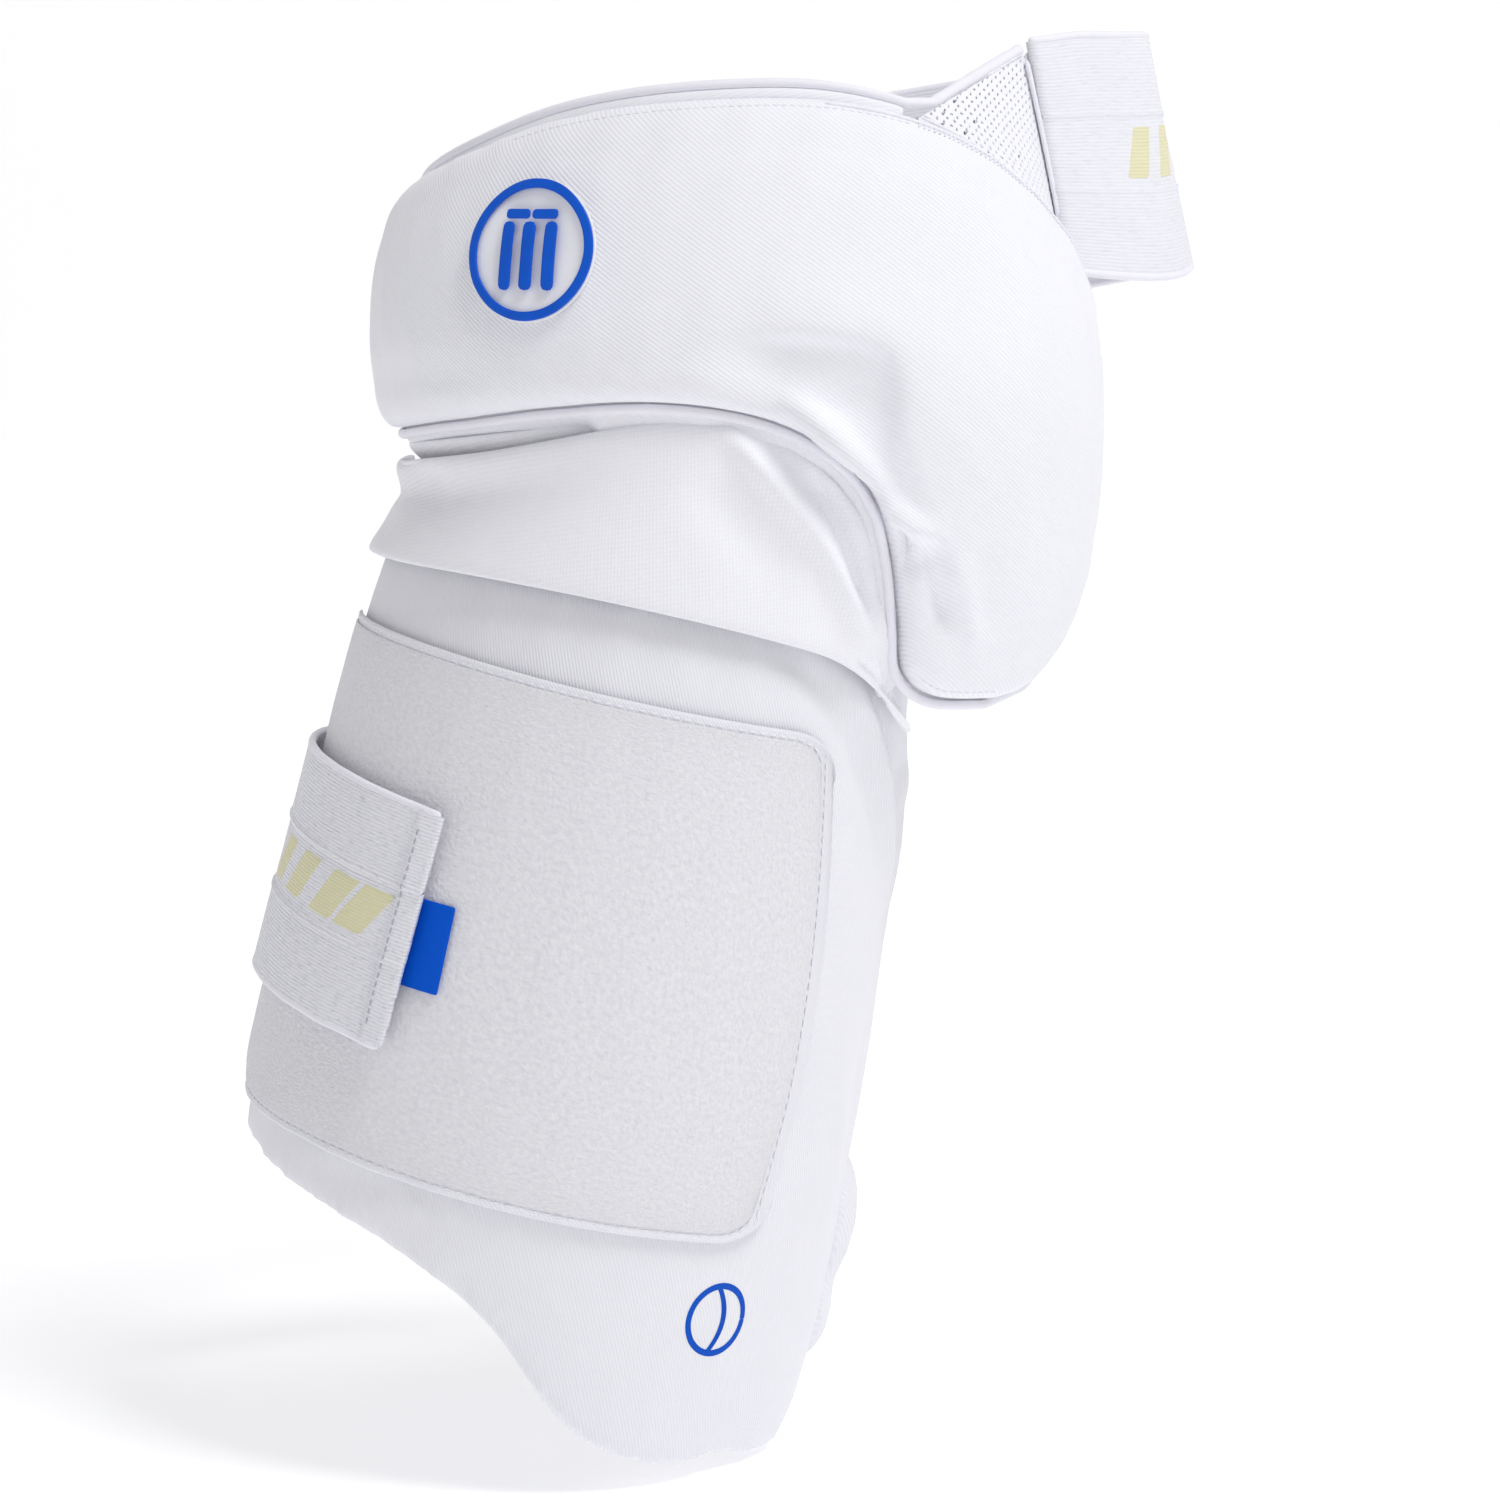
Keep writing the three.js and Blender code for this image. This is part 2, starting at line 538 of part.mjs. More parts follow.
// The loop panel: a rectangle with round corners on the pad's face
const panelRow = smoothTable([
  { along: 0.0, angle: -97, low: 0.297, high: 0.842 },
  { along: 0.35, angle: -47, low: 0.289, high: 0.84 },
  { along: 0.7, angle: 3, low: 0.276, high: 0.832 },
  { along: 1.0, angle: 46.5, low: 0.272, high: 0.826 },
]);

const panelSpan = 143.5; // degrees, from its first row to its last

function onPanel(along, across) {
  const row = panelRow(along);
  const fromEnd = Math.min(along, 1 - along) * degToRad(panelSpan) * thighPad.girth;
  const inset = panelCorner - Math.sqrt(panelCorner ** 2 - Math.max(panelCorner - fromEnd, 0) ** 2);
  return { angle: row.angle, up: lerp(row.low + inset / thighLength, row.high - inset / thighLength, across) };
}

// Places on the pads, and where the waist strap's hook tab starts and ends along it
const hookSpot = { angle: -47, up: 0.549 };
const waistHookStart = 0.895;
const waistHookEnd = 0.985;
const labelSpot = { angle: -29, up: 0.534 };
const badgeSpot = { angle: -32.9, up: 0.721 };
const printSpot = { angle: 40, up: 0.186 };
const onPanelLift = panelGap + panelThickness + layerGap;

// A rectangle on a pad's face round a spot, in the pad's own measure
function patchAt(pad, spot, width, height) {
  return (a, b) => ({
    angle: spot.angle + radToDeg(((a - 0.5) * width) / pad.girth),
    up: spot.up + ((b - 0.5) * height) / pad.length,
  });
}

// A disc on a pad's face, drawn as rows of changing height. It stops just short of its first and last point.
const discEnd = 0.995;

function discAt(pad, spot, radius) {
  return (a, b) => {
    const x = clamp(2 * a - 1, -discEnd, discEnd);
    const half = Math.sqrt(1 - x * x);
    return {
      angle: spot.angle + radToDeg((x * radius) / pad.girth),
      up: spot.up + ((2 * b - 1) * half * radius) / pad.length,
    };
  };
}

function circlePath(path, radius, clockwise) {
  path.absarc(0, 0, radius, 0, 2 * Math.PI, clockwise);
  return path;
}

function extruded(shape, depth, curveSegments) {
  return new THREE.ExtrudeGeometry(shape, { depth, bevelEnabled: false, curveSegments });
}

function ringShape(radius, width) {
  const shape = circlePath(new THREE.Shape(), radius, false);
  shape.holes.push(circlePath(new THREE.Path(), radius - width, true));
  return shape;
}

// Three stumps that stand on a low bar and carry two bails in one piece
function wicketShape() {
  const half = wicketWidth / 2;
  const top = wicketHeight / 2;
  const shape = new THREE.Shape();
  shape.moveTo(-half, -top);
  const middles = [-1, 0, 1].map((place) => place * (half - stumpWidth / 2));
  middles.forEach((middle) => {
    shape.lineTo(middle - stumpWidth / 2, -top);
    shape.lineTo(middle + stumpWidth / 2, -top);
    if (middle < middles[2]) {
      shape.lineTo(middle + stumpWidth / 2, top - bailHeight);
      shape.lineTo(middle + half - stumpWidth, top - bailHeight);
    }
  });
  shape.lineTo(half, top);
  shape.lineTo(-half, top);
  return shape;
}

// A ball's outline with its bowed seam: a disc with a hole on either side of the seam. The bow is a share
// of the radius inside the outline.
function ballShape() {
  const shape = circlePath(new THREE.Shape(), printRadius, false);
  const inside = printRadius - printLine;
  const halfAngle = Math.PI / 2 - seamHalfAngle;
  const sides = [
    { middle: 0, bow: 0.077 },
    { middle: Math.PI, bow: -0.502 },
  ];
  sides.forEach(({ middle, bow }) => {
    const hole = new THREE.Path();
    const from = middle - halfAngle;
    hole.absarc(0, 0, inside, from, from + 2 * halfAngle, false);
    hole.quadraticCurveTo(bow * inside, 0, inside * Math.cos(from), inside * Math.sin(from));
    shape.holes.push(hole);
  });
  return shape;
}

// A closed solid of a geometry for cutting, and back
function toManifold(geometry) {
  return new wasm.Manifold(new wasm.Mesh({
    numProp: 3,
    vertProperties: new Float32Array(geometry.getAttribute('position').array),
    triVerts: new Uint32Array(geometry.getIndex().array),
  }));
}

function fromManifold(solid) {
  const mesh = solid.getMesh();
  const geometry = new THREE.BufferGeometry();
  geometry.setAttribute('position', new THREE.Float32BufferAttribute(mesh.vertProperties, 3));
  geometry.setIndex([...mesh.triVerts]);
  geometry.computeVertexNormals();
  return geometry;
}

// The rim and the wing of mesh, along the hip pad's upper edge from its left end to the wing's lower corner
const topSpots = steps(72).map((a) => hipPad.spot(1 - a, 1));
const wingAngle = 30; // where the rim turns into the wing
const wingLow = 0.7; // up the hip, where the wing's lower corner is
const wingSpots = topSpots.filter(({ angle, up }) => angle >= wingAngle && up >= wingLow);
const rimSpots = topSpots.filter(({ angle }) => angle < wingAngle - 1);
const curveBeside = (spots, aside) => new THREE.CatmullRomCurve3(hipPad.beside(spots, aside, hipPad.seam));
const wingGap = 1.5; // air between the hip pad's edge and the wing
const strapGap = 1.2; // and between the wing and the strap over it
const wingEdge = curveBeside(wingSpots, wingGap);
const rimInner = curveBeside(rimSpots, edgeGap);
const rimOuter = curveBeside(rimSpots, rimWidth);
const wingJoin = 0.84; // along the wing, where it reaches the strap's seam
const underStrap = behind((a, b) => onWaistStrap(a, b), strapThickness + strapGap);
const wingBottom = 0.12;
const wingTop = 0.955; // the mesh's top under the strap, the binding lies above it

const onRim = (along, across) => rimOuter.getPointAt(along).lerp(rimInner.getPointAt(along), across);

function onWing(along, across) {
  const up = lerp(wingBottom, wingTop, across);
  const seam = underStrap(seamSlant * up, up);
  if (along <= wingJoin) return wingEdge.getPointAt(across).lerp(seam, along / wingJoin);
  const share = (along - wingJoin) / (1 - wingJoin);
  return underStrap(seamSlant * up + meshUnder * share, up);
}

// Round holes through the wing, in rows beside the strap's seam
function pierced(geometry) {
  const seamMargin = 1; // in hole pitches
  const edgeMargin = 0.7;
  const rowPitch = meshHolePitch * Math.sin(Math.PI / 3);
  const rows = Math.floor(strapWidth / rowPitch - 2 * edgeMargin);
  const drills = [];
  for (let row = 0; row <= rows; row++) {
    const across = (edgeMargin * meshHolePitch + row * rowPitch) / strapWidth;
    const reach = onWing(0, across).distanceTo(onWing(wingJoin, across));
    const first = (seamMargin + (row % 2) / 2) * meshHolePitch;
    for (let away = first; away < reach - edgeMargin * meshHolePitch; away += meshHolePitch) {
      const along = wingJoin * (1 - away / reach);
      const middle = onWing(along, across);
      const forward = onWing(along + 0.01, across).sub(middle);
      const upward = onWing(along, across + 0.01).sub(middle);
      const through = forward.cross(upward).normalize();
      const turn = new THREE.Quaternion().setFromUnitVectors(new THREE.Vector3(0, 0, 1), through);
      const place = new THREE.Matrix4().compose(middle, turn, new THREE.Vector3(1, 1, 1));
      drills.push(wasm.Manifold.cylinder(6 * meshThickness, meshHoleRadius, meshHoleRadius, 6, true).transform(place.toArray()));
    }
  }
  return fromManifold(toManifold(geometry).subtract(wasm.Manifold.union(drills)));
}

const paint = (color, roughness) => new THREE.MeshStandardMaterial({ color, roughness, metalness: 0 });
const coverCloth = paint('#f1f1f4', 0.85);
const loopCloth = paint('#e9e9ef', 0.95);
const elastic = paint('#eeeef3', 0.8);
const meshCloth = paint('#f4f4f6', 0.85);
const trimCloth = paint('#f0f0f5', 0.7);
const hookTape = paint('#e6e6ea', 0.7);
const moulded = paint('#f3f3f6', 0.5);
const blue = paint('#0c5bc9', 0.55);

const guard = new THREE.Group();

function add(name, geometry, material) {
  const mesh = new THREE.Mesh(geometry, material);
  mesh.name = name;
  guard.add(mesh);
  return mesh;
}

add('main_pad', thighPad.geometry(steps(21, 0.4), steps(20, 0.6)), coverCloth);
add('hip_pad', hipPad.geometry(steps(30, 0.4), steps(12, 0.7)), coverCloth);
add('hinge_web', clothGeometry(steps(22), steps(7), (a, b) => onLayer(webRow, a, b, looseWeb, heldWeb), webThickness), coverCloth);
add('cover_fold', clothGeometry(steps(25), steps(8), (a, b) => onLayer(foldRow, a, b, looseFold, heldFold, foldWaves),
  foldThickness), coverCloth);
add('waist_strap', clothGeometry(steps(40), steps(1), (a, b) => onWaistStrap(lerp(seamSlant * b, 1, a), b), strapThickness), elastic);
add('thigh_strap', clothGeometry(steps(44), steps(1), onThighStrap, strapThickness), elastic);
add('loop_patch', thighPad.sheet(steps(20, 0.5), steps(7, 0.5), onPanel, panelGap, panelThickness), loopCloth);
add('thigh_hook_tab', thighPad.sheet(steps(6), steps(2), patchAt(thighPad, hookSpot, hookLength, hookWidth),
  onPanelLift, hookThickness), hookTape);
add('strap_label', thighPad.sheet(steps(3), steps(2), patchAt(thighPad, labelSpot, labelLength, labelWidth),
  onPanelLift, labelThickness), blue);
add('badge_disc', hipPad.sheet(steps(12, 1), steps(6, 0.3), discAt(hipPad, badgeSpot, badgeRadius), layerGap, badgeThickness),
  moulded);
const overDisc = 2 * layerGap + badgeThickness;
add('badge_ring', hipPad.lay(extruded(ringShape(badgeRadius, badgeRingWidth), badgeRelief, 16), badgeSpot, overDisc), blue);
add('badge_wicket', hipPad.lay(extruded(wicketShape(), badgeRelief, 1), badgeSpot, overDisc), blue);
add('tongue_print', thighPad.lay(extruded(ballShape(), printThickness, 9), printSpot, layerGap), blue);

const lowSpots = steps(40).slice(1).map((a) => hipPad.spot(a, 0));
const lobeSpots = steps(40).filter((a) => a > 0.8).reverse().map((a) => hipPad.spot(a, 1));
const pipingPoints = hipPad.beside([...lowSpots, ...lobeSpots], pipingRadius + edgeGap, hipPad.seam);
add('hip_piping', cordGeometry(pipingPoints, pipingRadius, 54, 5), trimCloth);

add('mesh_rim', clothGeometry(steps(26), [0, 1], onRim, rimThickness), meshCloth);
const wingAlongs = [...steps(6).map((a) => a * wingJoin), lerp(wingJoin, 1, 0.5), 1];
add('mesh_wing', pierced(clothGeometry(wingAlongs, steps(8), onWing, meshThickness)), meshCloth);

const bindingReach = bindingRadius + edgeGap;
const rimBinding = hipPad.beside(rimSpots.filter((_, i) => i % 2 === 0), rimWidth + bindingReach, hipPad.seam - rimThickness / 2);
const bindingEnd = 0.97 * wingJoin;
const belowTop = 0.9; // a place lower on the wing, which gives its upward direction
const wingBinding = steps(4).slice(1).map((share) => {
  const top = onWing(bindingEnd * share, 1);
  const upward = top.clone().sub(onWing(bindingEnd * share, belowTop)).normalize();
  return top.addScaledVector(upward, bindingReach);
});
add('wing_binding', cordGeometry([...rimBinding.reverse(), ...wingBinding], bindingRadius, 38, 5), trimCloth);

add('waist_hook_tab', clothGeometry(steps(6), steps(2),
  (a, b) => onWaistStrap(lerp(waistHookStart, waistHookEnd, a), 0.5 + (b - 0.5) * (hookWidth / strapWidth),
    layerGap + hookThickness), hookThickness), hookTape);

// The soft roll behind the tongue's right side, with a large lobe above a small one
const rollSwell = smoothTable([
  { along: 0.0, radius: 0.3 },
  { along: 0.1, radius: 0.72 },
  { along: 0.3, radius: 1.0 },
  { along: 0.5, radius: 0.94 },
  { along: 0.62, radius: 0.72 },
  { along: 0.78, radius: 0.8 },
  { along: 0.92, radius: 0.62 },
  { along: 1.0, radius: 0.28 },
]);
const rollLine = [
  { angle: 104.2, up: 0.34, out: 1.16 },
  { angle: 104.2, up: 0.28, out: 1.44 },
  { angle: 104.2, up: 0.21, out: 1.49 },
  { angle: 104.2, up: 0.14, out: 1.38 },
  { angle: 102, up: 0.085, out: 1.25 },
];
const rollPoints = rollLine.map(({ angle, up, out }) => onThigh(angle, up, out * rollRadius));
add('side_roll', cordGeometry(rollPoints, rollRadius, 16, 8, (at) => rollSwell(at).radius), coverCloth);

export default guard;
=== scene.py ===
# A cricket thigh guard for its picture: padded covers, a folded stretch web, mesh, elastics and trim.
# Metres. The CAD's two forms are repeated here, so that seams and stitches can be laid along them.
import bisect
import math

import bmesh
import bpy
from mathutils import Matrix, Vector, noise
from mathutils.bvhtree import BVHTree


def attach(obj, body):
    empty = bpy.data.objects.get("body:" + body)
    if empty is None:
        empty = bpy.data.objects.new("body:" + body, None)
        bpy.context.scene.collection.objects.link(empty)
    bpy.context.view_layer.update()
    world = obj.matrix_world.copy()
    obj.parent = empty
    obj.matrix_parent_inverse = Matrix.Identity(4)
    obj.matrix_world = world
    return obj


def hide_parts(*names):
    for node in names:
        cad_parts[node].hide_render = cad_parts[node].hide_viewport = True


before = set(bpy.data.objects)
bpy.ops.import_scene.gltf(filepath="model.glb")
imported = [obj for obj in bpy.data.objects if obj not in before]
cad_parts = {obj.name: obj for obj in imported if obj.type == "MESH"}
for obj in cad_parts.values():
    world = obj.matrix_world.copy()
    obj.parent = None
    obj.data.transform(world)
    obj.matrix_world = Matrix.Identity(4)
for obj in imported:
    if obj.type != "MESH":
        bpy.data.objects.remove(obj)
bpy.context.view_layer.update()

scene = bpy.context.scene
mm = 0.001

# Camera
cameraLook = {"place": (54, -1500, 243), "aim": (54, 0, 56), "lens": 108.8, "sensor": 36}


def addCamera(look):
    data = bpy.data.cameras.new("camera")
    data.lens = look["lens"]
    data.sensor_width = look["sensor"]
    made = bpy.data.objects.new("camera", data)
    scene.collection.objects.link(made)
    place = Vector(look["place"]) * mm
    made.location = place
    made.rotation_euler = (Vector(look["aim"]) * mm - place).to_track_quat("-Z", "Y").to_euler()
    scene.camera = made


addCamera(cameraLook)
print("camera")


# Tables and curves
def table(columns, *rows):
    names = columns.split()
    return [dict(zip(names, row)) for row in rows]


# Reads a table as smooth curves: the first column is the position, the others are looked up
def smoothTable(rows):
    key, *columns = rows[0]
    places = [row[key] for row in rows]

    def read(at):
        at = min(max(at, places[0]), places[-1])
        high = min(max(bisect.bisect_right(places, at), 1), len(rows) - 1)
        low = high - 1
        before = low - 1 if low > 0 else high
        after = high + 1 if high + 1 < len(rows) else low
        span = places[high] - places[low]
        pullBefore = 0.5 * span / (places[low] - places[before])
        pullAfter = 0.5 * span / (places[after] - places[high])
        p = (at - places[low]) / span
        # At a table's end one of the two rows also takes the share of the missing neighbour
        shares = {before: 0, low: 0, high: 0, after: 0}
        shares[before] += pullBefore * (-p ** 3 + 2 * p ** 2 - p)
        shares[low] += (1 + pullBefore) * p ** 3 - (1.5 + 2 * pullBefore) * p ** 2
        shares[low] += (pullBefore - 0.5) * p + 1
        shares[high] += -(1 + pullAfter) * p ** 3 + (1.5 + pullAfter) * p ** 2 + 0.5 * p
        shares[after] += pullAfter * (p ** 3 - p ** 2)
        return {column: sum(rows[i][column] * share for i, share in shares.items()) for column in columns}

    return read


def lerp(start, end, share):
    return start + (end - start) * share


def smoothStep(at, low, high):
    share = min(max((at - low) / (high - low), 0), 1)
    return share * share * (3 - 2 * share)


# The points of a line, spaced evenly
def evenly(points, spacing):
    reach = [0]
    for start, end in zip(points, points[1:]):
        reach.append(reach[-1] + (end - start).length)
    count = max(round(reach[-1] / spacing), 1)
    made = []
    for step in range(count + 1):
        at = reach[-1] * step / count
        high = min(max(bisect.bisect_right(reach, at), 1), len(reach) - 1)
        span = reach[high] - reach[high - 1]
        made.append(points[high - 1].lerp(points[high], (at - reach[high - 1]) / span if span else 0))
    return made


# Where a flat point lies beside a line: the way to the line, how far to its right, and the share along it
def besideLine(point, line):
    nearest = None
    for i, (start, end) in enumerate(zip(line, line[1:])):
        span = end - start
        share = min(max((point - start).dot(span) / max(span.length_squared, 1e-12), 0), 1)
        away = point - start - span * share
        if nearest is None or away.length < abs(nearest["aside"]):
            side = 1 if span.y * away.x >= span.x * away.y else -1
            nearest = {"way": -away, "aside": side * away.length, "along": (i + share) / (len(line) - 1)}
    return nearest


# The thigh and the hip that the guard is worn on
thigh = {
    "length": 300 * mm, "halfWidth": 83 * mm, "halfDepth": 80 * mm,
    "seat": 165 * mm, "lean": math.radians(11),
}
thighSections = smoothTable(table(
    "up width depth",
    (0.0, 1.0, 0.95),
    (0.3, 1.01, 1.0),
    (0.45, 1.0, 1.0),
    (0.65, 0.95, 0.96),
    (0.8, 0.9, 0.92),
    (1.0, 0.81, 0.85),
))
hip = {"length": 200 * mm, "halfWidth": 103 * mm, "halfDepth": 80 * mm, "shift": 52 * mm, "rise": 78 * mm}
hipSections = smoothTable(table(
    "up aside back width depth",
    (0.0, 0.02, 0.375, 0.96, 0.98),
    (0.25, 0.0, 0.15, 1.0, 1.0),
    (0.5, -0.01, -0.04, 1.0, 1.0),
    (0.75, 0.0, 0.0, 0.98, 0.94),
    (1.0, 0.03, 0.075, 0.87, 0.84),
))
leanTurn = Matrix.Rotation(thigh["lean"], 3, "Y")


# A point on the thigh: angle in degrees from the front towards +X, out off the skin
def onThigh(angle, up, out=0):
    section = thighSections(up)
    turn = math.radians(angle)
    return leanTurn @ Vector((
        (thigh["halfWidth"] * section["width"] + out) * math.sin(turn),
        -(thigh["halfDepth"] * section["depth"] + out) * math.cos(turn),
        thigh["length"] * up - thigh["seat"],
    ))


def onHip(angle, up, out=0):
    section = hipSections(up)
    turn = math.radians(angle)
    middle = hip["shift"] + hip["halfWidth"] * section["aside"]
    return Vector((
        middle + (hip["halfWidth"] * section["width"] + out) * math.sin(turn),
        hip["halfDepth"] * section["back"] - (hip["halfDepth"] * section["depth"] + out) * math.cos(turn),
        hip["rise"] + hip["length"] * up,
    ))


# The angle and height of a point, the other way round
def thighSpot(point):
    turned = leanTurn.transposed() @ point
    up = (turned.z + thigh["seat"]) / thigh["length"]
    section = thighSections(up)
    aside = turned.x / (thigh["halfWidth"] * section["width"])
    front = -turned.y / (thigh["halfDepth"] * section["depth"])
    return math.degrees(math.atan2(aside, front)), up


def hipSpot(point):
    up = (point.z - hip["rise"]) / hip["length"]
    section = hipSections(up)
    middle = hip["shift"] + hip["halfWidth"] * section["aside"]
    aside = (point.x - middle) / (hip["halfWidth"] * section["width"])
    front = -(point.y - hip["halfDepth"] * section["back"]) / (hip["halfDepth"] * section["depth"])
    return math.degrees(math.atan2(aside, front)), up


# The pads' outlines, as lines across them from the low edge to the high edge
thighPad = {
    "form": onThigh, "spotOf": thighSpot, "girth": thigh["halfWidth"] + 19.5 * mm, "length": thigh["length"],
    "seam": 4.9 * mm,
    "row": smoothTable(table(
        "along lowAngle lowUp highAngle highUp",
        (0.0, 44, 0.006, 58, 0.006),
        (0.05, 33, 0.018, 70, 0.022),
        (0.12, 21, 0.05, 84, 0.07),
        (0.2, 9, 0.105, 94, 0.13),
        (0.28, -6, 0.168, 98, 0.2),
        (0.36, -30, 0.215, 100, 0.29),
        (0.44, -60, 0.24, 101, 0.39),
        (0.52, -90, 0.262, 102, 0.49),
        (0.6, -106, 0.32, 102, 0.58),
        (0.7, -110, 0.46, 102, 0.68),
        (0.85, -110, 0.72, 102, 0.82),
        (1.0, -110, 0.97, 102, 0.97),
    )),
}
hipPad = {
    "form": onHip, "spotOf": hipSpot, "girth": hip["halfWidth"] + 10.5 * mm, "length": hip["length"],
    "seam": 8.4 * mm,
    "row": smoothTable(table(
        "along lowAngle lowUp highAngle highUp",
        (0.0, -118, 0.54, -118, 0.66),
        (0.05, -110, 0.455, -111, 0.75),
        (0.13, -88, 0.43, -90, 0.8),
        (0.24, -54, 0.454, -60, 0.865),
        (0.34, -32, 0.479, -33, 0.93),
        (0.43, -13, 0.49, -8, 0.957),
        (0.51, 3, 0.468, 15, 0.955),
        (0.59, 15, 0.41, 37, 0.905),
        (0.67, 22, 0.33, 58, 0.8),
        (0.75, 25, 0.22, 80, 0.63),
        (0.82, 26, 0.12, 86, 0.45),
        (0.89, 27, 0.045, 80, 0.26),
        (0.95, 33, 0.004, 69, 0.1),
        (1.0, 45, -0.005, 54, 0.006),
    )),
}


# A spot of a pad's face on the form unrolled flat, and back
def flat(pad, angle, up):
    return Vector((math.radians(angle) * pad["girth"], up * pad["length"]))


def unflat(pad, point):
    return math.degrees(point.x / pad["girth"]), point.y / pad["length"]


# A stretch of a pad's outline, flat, moved to its right-hand side
def besideEdge(pad, edge, start, end, aside, count=60):
    side = "high" if edge else "low"
    spots = []
    for step in range(count + 1):
        row = pad["row"](lerp(start, end, step / count))
        spots.append(flat(pad, row[side + "Angle"], row[side + "Up"]))
    return movedAside(spots, aside)


def movedAside(spots, aside):
    made = []
    for i, spot in enumerate(spots):
        forward = (spots[min(i + 1, len(spots) - 1)] - spots[max(i - 1, 0)]).normalized()
        made.append(spot + Vector((forward.y, -forward.x)) * aside)
    return made


def wholeOutline(pad):
    low = besideEdge(pad, 0, 0, 1, 0)
    high = besideEdge(pad, 1, 1, 0, 0)
    return [*low, *high, low[0]]


# Materials
def linear(code):
    shares = [int(code[i:i + 2], 16) / 255 for i in (1, 3, 5)]
    return (*(c / 12.92 if c <= 0.04045 else ((c + 0.055) / 1.055) ** 2.4 for c in shares), 1)


# Adds a shader node with its options and its sockets: a socket given as the value is linked
def addNode(tree, kind, sockets=None, **options):
    node = tree.nodes.new("ShaderNode" + kind)
    for name, value in options.items():
        setattr(node, name, value)
    for name, value in (sockets or {}).items():
        if isinstance(value, bpy.types.NodeSocket):
            tree.links.new(value, node.inputs[name])
        else:
            node.inputs[name].default_value = value
    return node


# What a cloth has unless it says otherwise. Yarns are waves with a pitch and a turn in degrees. Contrast is
# the painted shade in the hollows between them, mottle how uneven the colour is, and fuzz the loose fibres on
# top.
plainCloth = {
    "yarns": (), "streaks": None, "mottle": 0.05, "fuzz": 0.05 * mm, "fuzzSize": 0.4 * mm,
    "sheen": 0, "specular": 0.3, "coordinates": "UV",
}


def clothMaterial(name, **settings):
    look = {**plainCloth, **settings}
    material = bpy.data.materials.new(name)
    material.use_nodes = True
    tree = material.node_tree
    shader = tree.nodes["Principled BSDF"].inputs
    shader["Roughness"].default_value = look["roughness"]
    shader["IOR"].default_value = 1.5
    shader["Sheen Weight"].default_value = look["sheen"]
    shader["Sheen Roughness"].default_value = 0.5
    shader["Specular IOR Level"].default_value = look["specular"]
    place = addNode(tree, "TexCoord").outputs[look["coordinates"]]
    fibres = addNode(tree, "TexNoise", {"Vector": place, "Scale": 1 / look["fuzzSize"], "Detail": 3})
    reliefs = [(fibres.outputs[0], look["fuzz"])]
    uneven = addNode(tree, "TexNoise", {
        "Vector": place, "Scale": 1 / look["mottleSize"], "Detail": 4, "Roughness": 0.6,
    })
    tone = addNode(tree, "MapRange", {
        "Value": uneven.outputs[0], "From Min": 0.35, "From Max": 0.7,
        "To Min": 1, "To Max": 1 - look["mottle"],
    }).outputs[0]
    weave = None
    for yarn in look["yarns"]:
        turned = addNode(tree, "Mapping", {"Vector": place, "Rotation": (0, 0, math.radians(yarn["turn"]))})
        wave = addNode(tree, "TexWave", {
            "Vector": turned.outputs[0], "Scale": math.pi / 10 / yarn["pitch"], "Detail": 1,
            "Distortion": yarn.get("bow", 0),
        }).outputs["Fac"]
        if weave is None:
            weave = wave
        else:
            weave = addNode(tree, "Math", {0: weave, 1: wave}, operation="MULTIPLY").outputs[0]
    if weave is not None:
        # The hollows between the yarns are painted darker: painted shade
        ribs = addNode(tree, "Math", {
            0: weave, 1: look["contrast"], 2: 1 - look["contrast"],
        }, operation="MULTIPLY_ADD").outputs[0]
        tone = addNode(tree, "Math", {0: ribs, 1: tone}, operation="MULTIPLY").outputs[0]
        reliefs.append((weave, look["depth"]))
    streaks = look["streaks"]
    if streaks:
        drawn = addNode(tree, "Mapping", {
            "Vector": place, "Scale": (1 / streaks["length"], 1 / streaks["width"], 1),
        })
        lines = addNode(tree, "TexNoise", {"Vector": drawn.outputs[0], "Scale": 1, "Detail": 2})
        dark = addNode(tree, "MapRange", {
            "Value": lines.outputs[0], "From Min": 0.55, "From Max": 0.68,
            "To Min": 1, "To Max": 1 - streaks["amount"],
        }).outputs[0]
        tone = addNode(tree, "Math", {0: tone, 1: dark}, operation="MULTIPLY").outputs[0]
        reliefs.append((dark, streaks["depth"]))
    colour = addNode(tree, "Mix", {
        0: tone, 6: linear(look["dark"]), 7: linear(look["light"]),
    }, data_type="RGBA")
    tree.links.new(colour.outputs[2], shader["Base Color"])
    under = {}
    for height, depth in reliefs:
        bump = addNode(tree, "Bump", {"Height": height, "Distance": depth, "Strength": 1, **under})
        under = {"Normal": bump.outputs[0]}
    tree.links.new(under["Normal"], shader["Normal"])
    return material


# Ribbed polyester jersey: fine upright ribs give the pad a soft grain that turns grey at a glancing angle
ribJersey = clothMaterial(
    "ribbed_polyester_jersey", light="#EDEDF2", dark="#C9C8D4", roughness=0.85, sheen=0.15,
    yarns=[{"turn": -24, "pitch": 1.15 * mm, "bow": 0.4}], contrast=0.16, depth=0.1 * mm,
    mottle=0.06, mottleSize=30 * mm, fuzz=0.06 * mm, fuzzSize=0.5 * mm)
# Polyester twill: close slanting lines across the hip pad
twillCloth = clothMaterial(
    "polyester_twill", light="#F4F4F9", dark="#C4C4D0", roughness=0.8, sheen=0.15,
    yarns=[{"turn": -52, "pitch": 1.2 * mm, "bow": 0.4}], contrast=0.16, depth=0.1 * mm,
    mottleSize=35 * mm, fuzzSize=0.5 * mm)
